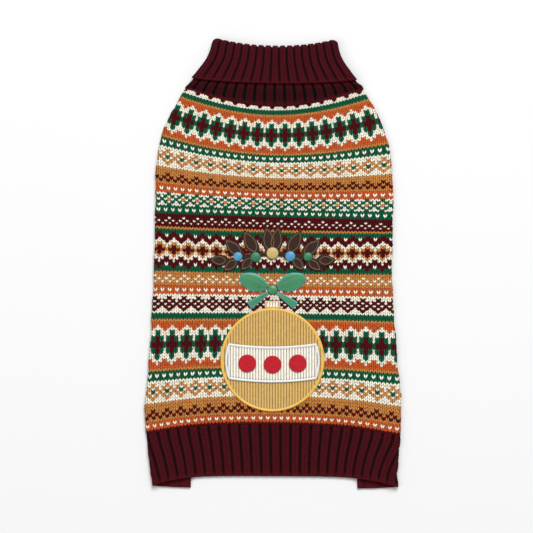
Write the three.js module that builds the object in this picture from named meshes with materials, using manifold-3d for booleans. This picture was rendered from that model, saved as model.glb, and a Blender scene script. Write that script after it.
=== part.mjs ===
// A knitted dog sweater with a roll neck, laid flat on its belly with the back up.
// Millimetres. +Y runs from the hem to the neck, +Z up from the surface that the sweater lies on.
// The origin is on that surface, at the middle of the sweater's box.
import * as THREE from 'three';
import { mergeVertices } from 'three/addons/utils/BufferGeometryUtils.js';
import Module from 'manifold-3d';

const CLOTH = 2.5; // thickness of every knitted wall
const HALF_CLOTH = CLOTH / 2;
const SEAM_GAP = 0.3; // between two pieces that are sewn together
const SIDE_FOLD = 2.2; // radius of the cloth's middle round a side fold
const LAYER_AIR = 0.8; // between the belly and the back, in the middle of the body
const LOW_LIFT = 0.4; // the back over the bare surface, between the tabs
const SEAM = 89; // the underside seams, over most of their length
const COURSE = 2.7; // height of one knitted course
const WRAP_SLOPE = 22; // width over which the back rises onto its own wrapped edges
const BELLY_SLOPE = 45; // length over which the back comes down past the belly's end

// Knitted courses are counted down from the neck seam. Each row follows one course round the body:
// its height at the middle of the back, at the side folds and at the middle of the belly, the power
// of the curve between them, the half width, and where the underside seam lies. `shift` moves it to +X.
const BODY = [
  { course: 0, backY: 168, sideY: 186, bellyY: 168, power: 1.9, half: 94.5, seam: 45, shift: 1.8 },
  { course: 4, backY: 159, sideY: 178, bellyY: 159, power: 1.9, half: 100.5, seam: 50, shift: 1.2 },
  { course: 13, backY: 137.6, sideY: 157, bellyY: 137.6, power: 1.9, half: 111.5, seam: 62, shift: 0.4 },
  { course: 22, backY: 115.8, sideY: 133, bellyY: 115.8, power: 1.9, half: 120.5, seam: 72, shift: 0 },
  { course: 32, backY: 91, sideY: 101, bellyY: 91, power: 1.9, half: 125, seam: 80, shift: 0 },
  { course: 49, backY: 48.5, sideY: 52.5, bellyY: 48.5, power: 2, half: 126, seam: 86, shift: 0 },
  { course: 70, backY: -11, sideY: -10.5, bellyY: -11, power: 2, half: 127.5, seam: SEAM, shift: 0 },
  { course: 87, backY: -59.5, sideY: -60.5, bellyY: -61, power: 2, half: 130, seam: SEAM, shift: 0 },
  { course: 105, backY: -111.5, sideY: -114.5, bellyY: -116, power: 2.6, half: 133.5, seam: SEAM, shift: 0 },
  { course: 115, backY: -141.5, sideY: -147.5, bellyY: -149, power: 3.2, half: 136.8, seam: SEAM, shift: 0 },
  { course: 124, backY: -172.8, sideY: -180, bellyY: -183, power: 3.6, half: 136.4, seam: SEAM, shift: 0.4 },
  { course: 134, backY: -200, sideY: -208.5, bellyY: -212, power: 4.2, half: 133.4, seam: SEAM, shift: 1 },
  { course: 144, backY: -227.8, sideY: -238, bellyY: -243, power: 5, half: 131.2, seam: SEAM, shift: 1.6 },
];
const NECK_COURSE = 0;
const BELLY_RIB_COURSE = 102;
const BELLY_END_COURSE = 117;
const HEM_COURSE = 124;
const EDGE_COURSE = 144;

// The collar's cloth from the neck seam up to the fold and down outside to its free edge. `tilt` sets
// its right side a little lower than its left, `lift` is how far the cloth lies outside the neck's own
// wall, and `centreZ` the height of the flattened tube's middle.
const NECK_AIR = 0.5; // inside the flattened neck
const NECK_HALF = (CLOTH + NECK_AIR) / 2; // half height of the flattened tube's middle surface
const LAP_LIFT = CLOTH + 0.5; // the folded-over layer at its free edge
const FOLD_LIFT = LAP_LIFT + 1.2; // the same at the fold, where the roll is plumper
const REST = NECK_HALF + HALF_CLOTH; // centreZ where the neck alone lies on the surface
const COLLAR = [
  { backY: 168.4, sideY: 187, power: 1.9, tilt: 0, lift: 0, centreZ: REST },
  { backY: 175, sideY: 188.8, power: 1.9, tilt: 0, lift: 0, centreZ: REST + 0.6 },
  { backY: 182, sideY: 191.2, power: 2, tilt: 0, lift: 0, centreZ: REST + 2.3 },
  { backY: 188.6, sideY: 193.6, power: 2.2, tilt: 0.006, lift: 0, centreZ: REST + LAP_LIFT },
  { backY: 203, sideY: 209, power: 2.2, tilt: 0.012, lift: 0, centreZ: REST + LAP_LIFT + 0.3 },
  { backY: 217, sideY: 224, power: 2.2, tilt: 0.012, lift: 0, centreZ: REST + LAP_LIFT + 0.8 },
  { backY: 229.4, sideY: 236.8, power: 2.2, tilt: 0.012, lift: 0, centreZ: REST + FOLD_LIFT },
  { backY: 231.5, sideY: 238.9, power: 2.2, tilt: 0.012, lift: FOLD_LIFT / 2, centreZ: REST + FOLD_LIFT },
  { backY: 229.4, sideY: 236.8, power: 2.2, tilt: 0.012, lift: FOLD_LIFT, centreZ: REST + FOLD_LIFT },
  { backY: 217, sideY: 224, power: 2.2, tilt: 0.012, lift: LAP_LIFT + 0.8, centreZ: REST + LAP_LIFT + 0.8 },
  { backY: 204, sideY: 210, power: 2.2, tilt: 0.012, lift: LAP_LIFT + 0.3, centreZ: REST + LAP_LIFT + 0.3 },
  { backY: 192.4, sideY: 197, power: 2.2, tilt: 0.012, lift: LAP_LIFT, centreZ: REST + LAP_LIFT },
];
const COLLAR_SHIFT = 1.8;
// Half width of the neck tube's middle surface, from the seam up to the fold.
const NECK = [
  { sideY: 186, half: 93.2 },
  { sideY: 190, half: 91 },
  { sideY: 194, half: 86.5 },
  { sideY: 200, half: 82.6 },
  { sideY: 209, half: 75.8 },
  { sideY: 219, half: 68.6 },
  { sideY: 230, half: 64.4 },
  { sideY: 240, half: 63 },
];

const LEG_HOLE = { course: 31.5, halfLength: 33, halfWidth: 20, cuffWidth: 11 };
const LEG_SEGMENTS = 32;

const PATCH = 1.2; // thickness of a sewn-on piece of felt or corduroy
const PATCH_GAP = 0.3; // under each sewn-on piece
const BAUBLE = { x: 0, y: -103, radius: 55 };
const BAND = { halfHeight: 19, inset: 4.5, bow: 5 };
const CAP = { bottomY: -47.5, topY: -40, halfWidth: 8 };
const DISC = { radius: 9.5, spacing: 27 };
const BOW = { knotY: -28, knotRadius: 5.5 };
const BOW_LOOP = { length: 31, half: 9.5, turn: 0.38 };
const BOW_TAIL = { length: 24, half: 4.5, turn: -0.6 };
const BOUGH = { y: 3, half: 46, arch: 7, stem: 2.2 };
// Leaves of the bough: where each springs from the stem as a share of its half width, its direction
// in degrees from +X, its length and its half width. The left side mirrors the right.
const LEAVES = [
  { at: 0.03, turn: 80, length: 30, half: 7.5 },
  { at: 0.36, turn: 62, length: 30, half: 7.5 },
  { at: 0.68, turn: 44, length: 28, half: 7 },
  { at: 1, turn: 2, length: 22, half: 6.5 },
  { at: 0.78, turn: -40, length: 22, half: 6 },
  { at: 0.45, turn: -52, length: 21, half: 6 },
];
const BERRIES = [
  { name: 'berry_blue_left', x: -37, rise: 2, radius: 5, thread: 'blueThread' },
  { name: 'berry_green_left', x: -18, rise: -2, radius: 5.5, thread: 'greenThread' },
  { name: 'berry_gold', x: 0, rise: 1, radius: 6.5, thread: 'goldThread' },
  { name: 'berry_blue_right', x: 19, rise: -1, radius: 5.5, thread: 'blueThread' },
  { name: 'berry_green_right', x: 38, rise: 2, radius: 5, thread: 'greenThread' },
];

const wasm = await Module();
wasm.setup();

const smooth = (t) => THREE.MathUtils.smoothstep(t, 0, 1);
const lerp = THREE.MathUtils.lerp;

// A table's row at `value` of its column `key`, on a smooth curve through every column.
function tableRow(table, key, value) {
  let i = 0;
  while (i < table.length - 2 && value > table[i + 1][key]) i += 1;
  const span = table[i + 1][key] - table[i][key];
  const t = (value - table[i][key]) / span;
  const row = {};
  for (const column of Object.keys(table[0])) {
    const slope = (k) => {
      const a = table[Math.max(k - 1, 0)];
      const b = table[Math.min(k + 1, table.length - 1)];
      return ((b[column] - a[column]) / (b[key] - a[key])) * span;
    };
    const [p, q] = [table[i][column], table[i + 1][column]];
    row[column] =
      p * (2 * t ** 3 - 3 * t ** 2 + 1) + q * (3 * t ** 2 - 2 * t ** 3) +
      slope(i) * (t ** 3 - 2 * t ** 2 + t) + slope(i + 1) * (t ** 3 - t ** 2);
  }
  return row;
}

const BELLY_END_Y = tableRow(BODY, 'course', BELLY_END_COURSE).bellyY;

// Height of the middle of the back's cloth: highest over the wrapped edges, low past the belly's end.
function backHeight(x, y, seam) {
  const past = smooth((BELLY_END_Y - y) / BELLY_SLOPE);
  const middle = lerp(HALF_CLOTH + CLOTH + LAYER_AIR, HALF_CLOTH + LOW_LIFT, past);
  const edge = smooth((Math.abs(x) - seam + WRAP_SLOPE / 2) / WRAP_SLOPE);
  return lerp(middle, HALF_CLOTH + 2 * SIDE_FOLD, edge);
}

// Stations across half the back: wide apart over the belly, and close where the back climbs onto its
// wrapped edge at the seam.
function backStations(seam, flat) {
  const climb = [-0.5, -0.2, 0.2, 0.5].map((t) => seam + t * WRAP_SLOPE);
  return [0, seam * 0.36, seam * 0.72, ...climb, (climb[3] + flat) / 2];
}

// One course of the body as points of the cloth's middle, from the seam under the left side, over
// the back, to the seam under the right side. Each point holds the cloth's outward direction too.
function backCourse(course, { fold = 4, under = 4 } = {}) {
  const row = tableRow(BODY, 'course', course);
  const reach = row.half - HALF_CLOTH;
  const flat = reach - SIDE_FOLD;
  const half = [];
  for (const x of backStations(row.seam, flat)) {
    const y = row.backY + (row.sideY - row.backY) * (x / reach) ** row.power;
    half.push({ x, y, z: backHeight(x, y, row.seam), nx: 0, nz: 1 });
  }
  for (let i = 0; i <= fold; i += 1) {
    const turn = (Math.PI * i) / fold;
    const x = flat + SIDE_FOLD * Math.sin(turn);
    const from = i * 2 <= fold ? row.backY : row.bellyY;
    const y = from + (row.sideY - from) * (x / reach) ** row.power;
    const z = HALF_CLOTH + SIDE_FOLD * (1 + Math.cos(turn));
    half.push({ x, y, z, nx: Math.sin(turn), nz: Math.cos(turn) });
  }
  for (let i = 1; i <= under; i += 1) {
    const x = lerp(flat, row.seam, i / under);
    const y = row.bellyY + (row.sideY - row.bellyY) * (x / reach) ** row.power;
    half.push({ x, y, z: HALF_CLOTH, nx: 0, nz: -1 });
  }
  const left = half.slice(1).reverse().map((p) => ({ ...p, x: -p.x, nx: -p.nx }));
  return [...left, ...half].map((p) => ({ ...p, x: p.x + row.shift, ny: 0 }));
}

// The belly's part of one course, from the right seam to the left one, facing down.
function bellyCourse(course, across = 8) {
  const row = tableRow(BODY, 'course', course);
  const edge = row.seam - SEAM_GAP;
  const points = [];
  for (let i = 0; i <= across; i += 1) {
    const x = lerp(edge, -edge, i / across);
    const near = (Math.abs(x) / (row.half - HALF_CLOTH)) ** row.power;
    const y = row.bellyY + (row.sideY - row.bellyY) * near;
    points.push({ x: x + row.shift, y, z: HALF_CLOTH, nx: 0, ny: 0, nz: -1 });
  }
  return points;
}

// A closed solid from an outer and an inner grid of points. Rows run one way round the piece; when
// `ring` is set each row closes on itself. Faces point outwards where rows x columns face outwards.
function solidFromGrids(outer, inner, ring) {
  const rows = outer.length;
  const columns = outer[0].length;
  const position = [...outer.flat(), ...inner.flat()].flatMap((p) => [p.x, p.y, p.z]);
  const index = [];
  const at = (layer, r, c) => layer * rows * columns + r * columns + (c % columns);
  const quad = (a, b, c, d) => index.push(a, b, c, a, c, d);
  const lastColumn = ring ? columns : columns - 1;
  for (let r = 0; r + 1 < rows; r += 1) {
    for (let c = 0; c < lastColumn; c += 1) {
      quad(at(0, r, c), at(0, r + 1, c), at(0, r + 1, c + 1), at(0, r, c + 1));
      quad(at(1, r, c), at(1, r, c + 1), at(1, r + 1, c + 1), at(1, r + 1, c));
    }
  }
  for (let c = 0; c < lastColumn; c += 1) {
    quad(at(0, 0, c), at(0, 0, c + 1), at(1, 0, c + 1), at(1, 0, c));
    quad(at(0, rows - 1, c), at(1, rows - 1, c), at(1, rows - 1, c + 1), at(0, rows - 1, c + 1));
  }
  if (!ring) {
    for (let r = 0; r + 1 < rows; r += 1) {
      quad(at(0, r, 0), at(1, r, 0), at(1, r + 1, 0), at(0, r + 1, 0));
      const c = columns - 1;
      quad(at(0, r, c), at(0, r + 1, c), at(1, r + 1, c), at(1, r, c));
    }
  }
  const geometry = new THREE.BufferGeometry();
  geometry.setAttribute('position', new THREE.Float32BufferAttribute(position, 3));
  geometry.setIndex(index);
  return geometry;
}

const moved = (p, by) => ({ x: p.x + p.nx * by, y: p.y + p.ny * by, z: p.z + p.nz * by });

// Cloth of full thickness about the middle surface that `grid` gives.
function wall(grid, ring = false) {
  const outer = grid.map((row) => row.map((p) => moved(p, HALF_CLOTH)));
  const inner = grid.map((row) => row.map((p) => moved(p, -HALF_CLOTH)));
  return solidFromGrids(outer, inner, ring);
}

// Courses evenly spaced between two, kept clear of the neighbouring pieces by half a seam's gap.
function courses(from, to, steps, trimFrom, trimTo) {
  const first = from + (trimFrom ? SEAM_GAP / COURSE : 0);
  const last = to - (trimTo ? SEAM_GAP / COURSE : 0);
  return Array.from({ length: steps + 1 }, (_, i) => lerp(first, last, i / steps));
}

function toManifold(geometry) {
  const bare = new THREE.BufferGeometry();
  bare.setAttribute('position', geometry.getAttribute('position'));
  bare.setIndex(geometry.index);
  const merged = mergeVertices(bare, 1e-4);
  return new wasm.Manifold(
    new wasm.Mesh({
      numProp: 3,
      vertProperties: merged.attributes.position.array,
      triVerts: new Uint32Array(merged.index.array),
    }),
  );
}

function fromManifold(solid) {
  const mesh = solid.getMesh();
  const geometry = new THREE.BufferGeometry();
  geometry.setAttribute('position', new THREE.Float32BufferAttribute(mesh.vertProperties, 3));
  geometry.setIndex([...mesh.triVerts]);
  return geometry;
}

const LEG_ROW = tableRow(BODY, 'course', LEG_HOLE.course);
const legCentre = (side) => new THREE.Vector2(side * LEG_ROW.seam, LEG_ROW.bellyY + 6);

// The upright plug that opens the underside for one front leg, just larger than the cuff.
function legPlug(side) {
  const centre = legCentre(side);
  const outline = new THREE.Shape();
  outline.absellipse(
    centre.x, centre.y, LEG_HOLE.halfWidth + SEAM_GAP, LEG_HOLE.halfLength + SEAM_GAP, 0, 2 * Math.PI,
  );
  const plug = new THREE.ExtrudeGeometry(outline, {
    depth: CLOTH + 0.9, bevelEnabled: false, curveSegments: LEG_SEGMENTS,
  });
  plug.translate(0, 0, -0.5);
  plug.deleteAttribute('normal');
  plug.deleteAttribute('uv');
  return toManifold(mergeVertices(plug, 1e-4));
}

function withoutLegHoles(geometry) {
  let solid = toManifold(geometry);
  for (const side of [-1, 1]) solid = solid.subtract(legPlug(side));
  return fromManifold(solid);
}

// A flat rib ring round one leg hole, in the plane of the underside.
function legCuff(side) {
  const centre = legCentre(side);
  const grid = [0, LEG_HOLE.cuffWidth].map((drop) => {
    return Array.from({ length: LEG_SEGMENTS }, (_, i) => {
      const turn = (2 * Math.PI * i) / LEG_SEGMENTS;
      const x = centre.x + (LEG_HOLE.halfWidth - drop) * Math.cos(turn);
      const y = centre.y + (LEG_HOLE.halfLength - drop) * Math.sin(turn);
      return { x, y, z: HALF_CLOTH, nx: 0, ny: 0, nz: -1 };
    });
  });
  return wall(grid, true);
}

// One row of the collar's table as a closed ring round the flattened neck.
function collarRing(row, liftBy, yBy, { top = 12, turn = 4 } = {}) {
  const half = tableRow(NECK, 'sideY', row.sideY).half;
  const flat = half - NECK_HALF;
  const height = NECK_HALF + row.lift + liftBy;
  const reach = flat + height;
  const ring = [];
  const add = (x, z) => {
    const y = row.backY + (row.sideY - row.backY) * (Math.abs(x) / reach) ** row.power;
    ring.push({ x: x + COLLAR_SHIFT, y: y + yBy - row.tilt * x, z: row.centreZ + z });
  };
  for (let i = 0; i < top; i += 1) add(lerp(-flat, flat, i / top), height);
  for (let i = 0; i < turn; i += 1) {
    const a = (Math.PI * i) / turn;
    add(flat + height * Math.sin(a), height * Math.cos(a));
  }
  for (let i = 0; i < top; i += 1) add(lerp(flat, -flat, i / top), -height);
  for (let i = 0; i < turn; i += 1) {
    const a = (Math.PI * i) / turn;
    add(-flat - height * Math.sin(a), -height * Math.cos(a));
  }
  return ring;
}

function collar() {
  const last = COLLAR.length - 1;
  const side = (by) =>
    COLLAR.map((row, i) => {
      const a = COLLAR[Math.max(i - 1, 0)];
      const b = COLLAR[Math.min(i + 1, last)];
      const along = new THREE.Vector2(b.lift - a.lift, b.backY - a.backY).normalize();
      return collarRing(row, by * along.y, -by * along.x);
    }).reverse();
  return solidFromGrids(side(HALF_CLOTH), side(-HALF_CLOTH), true);
}

// A sewn-on piece: rows of plan points laid on the back, moved out by the layers beneath it.
function patch(plan, layersBelow = 0) {
  const lay = (by) =>
    plan.map((row) =>
      row.map(([x, y]) => ({ x, y, z: backHeight(x, y, SEAM) + HALF_CLOTH + by })),
    );
  const bottom = PATCH_GAP + layersBelow * (PATCH + PATCH_GAP);
  return solidFromGrids(lay(bottom + PATCH), lay(bottom), false);
}

// Plan rows between a lower and an upper edge, both given at each x.
function planBetween(xs, lower, upper, steps) {
  return Array.from({ length: steps + 1 }, (_, i) =>
    xs.map((x) => [x, lerp(upper(x), lower(x), i / steps)]),
  );
}

// Stations that close up towards both ends, for a round outline.
function roundStations(centre, radius, count) {
  return Array.from({ length: count + 1 }, (_, i) => centre - radius * Math.cos((Math.PI * i) / count));
}

const bandSag = (x) => BAND.bow * (1 - (x / BAUBLE.radius) ** 2);

function discPlan(x, y, radius, count = 12, blunt = 0.02) {
  const xs = roundStations(x, radius * (1 - blunt), count);
  const rise = (at) => Math.sqrt(Math.max(radius ** 2 - (at - x) ** 2, 0));
  return planBetween(xs, (at) => y - rise(at), (at) => y + rise(at), Math.max(1, Math.round(count / 6)));
}

// The band across the bauble: its ends follow the bauble's edge, and it hangs in a shallow bow.
function baubleBandPlan() {
  const reach = BAUBLE.radius - BAND.inset;
  return [1, 0.5, 0, -0.5, -1].map((side) => {
    const up = side * BAND.halfHeight;
    const half = Math.sqrt(reach ** 2 - up ** 2);
    return Array.from({ length: 13 }, (_, i) => {
      const x = lerp(-half, half, i / 12);
      return [x, BAUBLE.y + up - bandSag(x)];
    });
  });
}

// A leaf-shaped or ribbon-shaped plan along an axis from (x, y), turned from +X.
function leafPlan({ x, y, turn, length, half, ends }) {
  const c = Math.cos(turn);
  const s = Math.sin(turn);
  const steps = 8;
  const rows = [1, -1];
  return rows.map((side) =>
    Array.from({ length: steps + 1 }, (_, i) => {
      const t = i / steps;
      const wide = side * half * ends(t);
      return [x + c * t * length - s * wide, y + s * t * length + c * wide];
    }),
  );
}

const loopEnds = (t) => 0.2 + 0.8 * Math.sin(Math.PI * (0.05 + 0.88 * t));
const tailEnds = (t) => 0.4 + 0.6 * t;
const leafEnds = (t) => 0.12 + 0.88 * Math.sin(Math.PI * t ** 0.85) ** 0.9 - 0.1 * t;

const boughStem = (x) => BOUGH.y + BOUGH.arch * (1 - (x / BOUGH.half) ** 2);

// The bough is cut from one piece of felt: an arched stem with its leaves.
function bough() {
  const reach = BOUGH.half + 1;
  const xs = Array.from({ length: 13 }, (_, i) => lerp(-reach, reach, i / 12));
  const stem = planBetween(xs, (x) => boughStem(x) - BOUGH.stem, (x) => boughStem(x) + BOUGH.stem, 1);
  let solid = toManifold(patch(stem));
  for (const side of [-1, 1]) {
    for (const { at, turn, length, half } of LEAVES) {
      const x = side * at * BOUGH.half;
      const angle = THREE.MathUtils.degToRad(side > 0 ? turn : 180 - turn);
      const leaf = leafPlan({ x, y: boughStem(x), turn: angle, length, half, ends: leafEnds });
      solid = solid.add(toManifold(patch(leaf)));
    }
  }
  return fromManifold(solid);
}

const finish = (color, roughness) => new THREE.MeshStandardMaterial({ color, roughness, metalness: 0 });
const MATERIALS = {
  jacquard: finish('#8a5a45', 0.9),
  rib: finish('#551222', 0.9),
  corduroy: finish('#cfa35c', 0.85),
  cream: finish('#e8dfd0', 0.85),
  redFelt: finish('#b01c2c', 0.95),
  brownFelt: finish('#2e1c16', 0.95),
  ribbon: finish('#2b8f72', 0.6),
  blueThread: finish('#5aa7cf', 0.6),
  greenThread: finish('#1f7a4a', 0.6),
  goldThread: finish('#c9b06a', 0.6),
};

const sweater = new THREE.Group();
function add(name, geometry, material) {
  const mesh = new THREE.Mesh(geometry, material);
  mesh.name = name;
  sweater.add(mesh);
}

const backGrid = courses(NECK_COURSE, HEM_COURSE, 20, false, true).map((c) => backCourse(c));
add('back_panel', withoutLegHoles(wall(backGrid)), MATERIALS.jacquard);

const hemGrid = courses(HEM_COURSE, EDGE_COURSE, 5, false, false).map((c) => backCourse(c));
add('hem_rib', wall(hemGrid), MATERIALS.rib);

const bellyGrid = courses(NECK_COURSE, BELLY_RIB_COURSE, 16, false, true).map((c) => bellyCourse(c));
add('belly_panel', withoutLegHoles(wall(bellyGrid)), MATERIALS.jacquard);

const bellyRibGrid = courses(BELLY_RIB_COURSE, BELLY_END_COURSE, 3, false, false).map((c) => bellyCourse(c));
add('belly_rib', wall(bellyRibGrid), MATERIALS.rib);

add('collar', collar(), MATERIALS.rib);
add('leg_cuff_left', legCuff(-1), MATERIALS.rib);
add('leg_cuff_right', legCuff(1), MATERIALS.rib);

add('bauble', patch(discPlan(BAUBLE.x, BAUBLE.y, BAUBLE.radius, 24)), MATERIALS.corduroy);
add('bauble_band', patch(baubleBandPlan(), 1), MATERIALS.cream);
for (const [name, step] of [['left', -1], ['middle', 0], ['right', 1]]) {
  const x = step * DISC.spacing;
  add(`felt_disc_${name}`, patch(discPlan(x, BAUBLE.y - bandSag(x), DISC.radius), 2), MATERIALS.redFelt);
}
const capPlan = planBetween([-CAP.halfWidth, CAP.halfWidth], () => CAP.bottomY, () => CAP.topY, 1);
add('bauble_cap', patch(capPlan), MATERIALS.cream);

for (const [name, side] of [['left', -1], ['right', 1]]) {
  const start = BOW.knotRadius + 0.6;
  const out = (angle) => (side > 0 ? angle : Math.PI - angle);
  const loop = { ...BOW_LOOP, turn: out(BOW_LOOP.turn), ends: loopEnds };
  const tail = { ...BOW_TAIL, turn: out(BOW_TAIL.turn), ends: tailEnds };
  for (const [part, shape] of [['loop', loop], ['tail', tail]]) {
    const x = start * Math.cos(shape.turn);
    const y = BOW.knotY + start * Math.sin(shape.turn);
    add(`bow_${part}_${name}`, patch(leafPlan({ x, y, ...shape })), MATERIALS.ribbon);
  }
}
add('bow_knot', patch(discPlan(0, BOW.knotY, BOW.knotRadius, 8)), MATERIALS.ribbon);

add('felt_bough', bough(), MATERIALS.brownFelt);
for (const { name, x, rise, radius, thread } of BERRIES) {
  add(name, patch(discPlan(x, boughStem(x) + rise, radius, 8), 1), MATERIALS[thread]);
}

export default sweater;
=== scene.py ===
"""The looks of a knitted dog sweater with a roll neck, laid flat on its belly with the back up.

Millimetres in the tables and in the code that shapes the cloth, metres in the settings and meshes.
+Y runs from the hem to the neck and +Z up from the surface that the sweater lies on.
"""

import math

import bmesh
import bpy
import numpy as np
from bpy.props import FloatProperty, FloatVectorProperty, IntProperty, PointerProperty
from bpy.types import Operator, Panel, PropertyGroup
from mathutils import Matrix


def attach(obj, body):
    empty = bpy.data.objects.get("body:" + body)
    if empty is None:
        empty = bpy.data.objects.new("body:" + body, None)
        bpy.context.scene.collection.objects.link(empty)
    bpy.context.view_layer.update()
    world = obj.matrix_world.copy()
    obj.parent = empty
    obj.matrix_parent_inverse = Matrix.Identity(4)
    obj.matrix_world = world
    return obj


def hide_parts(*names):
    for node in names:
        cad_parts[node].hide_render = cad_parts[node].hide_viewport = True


bl_info = {
    "name": "Knitted dog sweater",
    "blender": (4, 1, 0),
    "version": (1, 0, 0),
    "location": "View3D > Sidebar > Sweater",
    "description": "Builds a knitted dog sweater laid flat, with its stage",
    "category": "Object",
}

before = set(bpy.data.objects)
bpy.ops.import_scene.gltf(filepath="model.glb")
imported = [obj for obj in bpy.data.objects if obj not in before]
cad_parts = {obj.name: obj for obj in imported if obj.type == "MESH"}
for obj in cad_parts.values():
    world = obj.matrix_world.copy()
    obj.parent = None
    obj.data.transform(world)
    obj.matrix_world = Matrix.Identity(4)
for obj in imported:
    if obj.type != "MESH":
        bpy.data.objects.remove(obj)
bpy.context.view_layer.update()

MM = 0.001
TINY = 1e-9  # keeps a division from failing

# ---------------------------------------------------------------- the cut

CLOTH = 2.5  # thickness of every knitted wall
HALF_CLOTH = CLOTH / 2
SEAM_GAP = 0.3  # between two pieces that are sewn together
SIDE_FOLD = 2.2  # radius of the cloth's middle round a side fold
LAYER_AIR = 0.8  # between the belly and the back, in the middle of the body
LOW_LIFT = 0.4  # the back over the bare surface, between the tabs
SEAM = 89  # from the centre line to each underside seam, over most of its length
COURSE = 2.7  # height of one knitted course
WRAP_SLOPE = 22  # width over which the back rises onto its own wrapped edges
BELLY_SLOPE = 45  # length over which the back comes down past the belly's end

# Each row of the body table follows one knitted course round the body: its place along Y at the middle of
# the back, at the side folds and at the middle of the belly, the power of the curve between them, the half
# width, the underside seam's distance from the centre line, the shift to +X, how much further the right side
# bulges, and the width of one stitch.
BODY_COLUMNS = "course backY sideY bellyY power half seam shift bulge stitch".split()
BODY = [
    (0, 168, 186, 168, 1.9, 95.6, 45, 1.4, 0, 3.34),
    (4, 159, 178, 159, 1.9, 100.8, 50, 1.1, 0.8, 3.48),
    (13, 137.6, 157, 137.6, 1.9, 111.5, 62, 0.4, 2.3, 3.71),
    (22, 115.8, 133, 115.8, 1.9, 120.5, 72, 0, 2.8, 3.81),
    (32, 91, 101, 91, 1.9, 125, 80, 0, 3.6, 3.81),
    (49, 48.5, 52.5, 48.5, 2, 126, 86, 0, 3.6, 3.76),
    (70, -11, -10.5, -11, 2, 127.5, 89, 0, 0.9, 3.8),
    (87, -59.5, -60.5, -61, 2, 130, 89, 0, 1.1, 3.82),
    (105, -111.5, -114.5, -116, 2.6, 133.5, 89, 0, 1.8, 3.82),
    (115, -141.5, -147.5, -149, 3.2, 136.8, 89, 0, 1.6, 3.79),
    (124, -172.8, -180, -183, 3.6, 136.4, 89, 0.4, 0.9, 3.7),
    (134, -200, -208.5, -212, 4.2, 133.4, 89, 1, 1.2, 3.6),
    (144, -227.8, -238, -240.5, 5, 131.2, 89, 1.6, 1.8, 3.5),
]
BELLY_RIB_COURSE = 102
BELLY_END_COURSE = 117
HEM_COURSE = 124
EDGE_COURSE = 144
NECK_COURSE = -1  # the back's first course lies under the neck rib

NECK_AIR = 0.5  # inside the flattened neck
NECK_HALF = (CLOTH + NECK_AIR) / 2
LAP_LIFT = CLOTH + 0.5  # the folded-over layer at its free edge
FOLD_LIFT = LAP_LIFT + 1.2  # the same at the fold, where the roll is plumper
REST = NECK_HALF + HALF_CLOTH
# The collar's cloth from the neck seam up to the fold and down outside to its free edge: its place along Y
# at the middle and at the sides, the power between them, how much lower the right side lies, how far the
# cloth lies outside the neck's own wall, and the height of the flattened tube's middle. The distance along
# the cloth is put before each row.
COLLAR_COLUMNS = "path backY sideY power tilt lift centreZ".split()
COLLAR_CUT = [
    (168.4, 187, 1.9, 0, 0.6, REST + 0.6),
    (175, 188.8, 1.9, 0, 0.3, REST + 0.9),
    (182, 191.2, 2, 0, 0, REST + 2.3),
    (188.6, 193.6, 2.2, 0.006, 0, REST + LAP_LIFT),
    (203, 209, 2.2, 0.012, 0, REST + LAP_LIFT + 0.3),
    (217, 224, 2.2, 0.012, 0, REST + LAP_LIFT + 0.8),
    (229.4, 236.8, 2.2, 0.012, 0, REST + FOLD_LIFT),
    (231.5, 238.9, 2.2, 0.012, FOLD_LIFT / 2, REST + FOLD_LIFT),
    (229.4, 236.8, 2.2, 0.012, FOLD_LIFT, REST + FOLD_LIFT),
    (217, 224, 2.2, 0.012, LAP_LIFT + 0.8, REST + LAP_LIFT + 0.8),
    (204, 210, 2.2, 0.012, LAP_LIFT + 0.3, REST + LAP_LIFT + 0.3),
    (192.4, 197, 2.2, 0.012, LAP_LIFT, REST + LAP_LIFT),
]
COLLAR_STEPS = [math.hypot(b[0] - a[0], b[4] - a[4]) for a, b in zip(COLLAR_CUT, COLLAR_CUT[1:])]
COLLAR_PATH = np.concatenate([[0], np.cumsum(COLLAR_STEPS)])
COLLAR = [(path, *row) for path, row in zip(COLLAR_PATH, COLLAR_CUT)]
COLLAR_FOLD = COLLAR_PATH[7]  # the outermost row of the roll
COLLAR_END = float(COLLAR_PATH[-1])
COLLAR_SHIFT = 1.8  # of the neck seam, to +X
COLLAR_LEAN = 0.02  # to +X, for each millimetre further up than LEAN_FROM
LEAN_FROM = 187
LAP_CORNER = 0.6  # how far the lap's blunt corners rise over its free edge
LAP_ROUNDING = 1.0  # how far they draw in there
# Half width of the neck's flattened tube, to the middle of its cloth, where its sides lie at each place
# along Y.
NECK_COLUMNS = "sideY half".split()
NECK = [
    (186, 94.8),
    (190, 93.2),
    (194, 88.5),
    (200, 83),
    (209, 75.8),
    (219, 68.4),
    (230, 63.6),
    (240, 61.2),
]

LEG_COURSE = 31.5  # the course at the middle of the leg holes
LEG_RISE = 6  # of each hole's middle over that course's
LEG_HALF_LENGTH = 33
LEG_HALF_WIDTH = 20
CUFF_WIDTH = 11
AXIS = -1.6  # the chart's middle column, from the centre line

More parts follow.
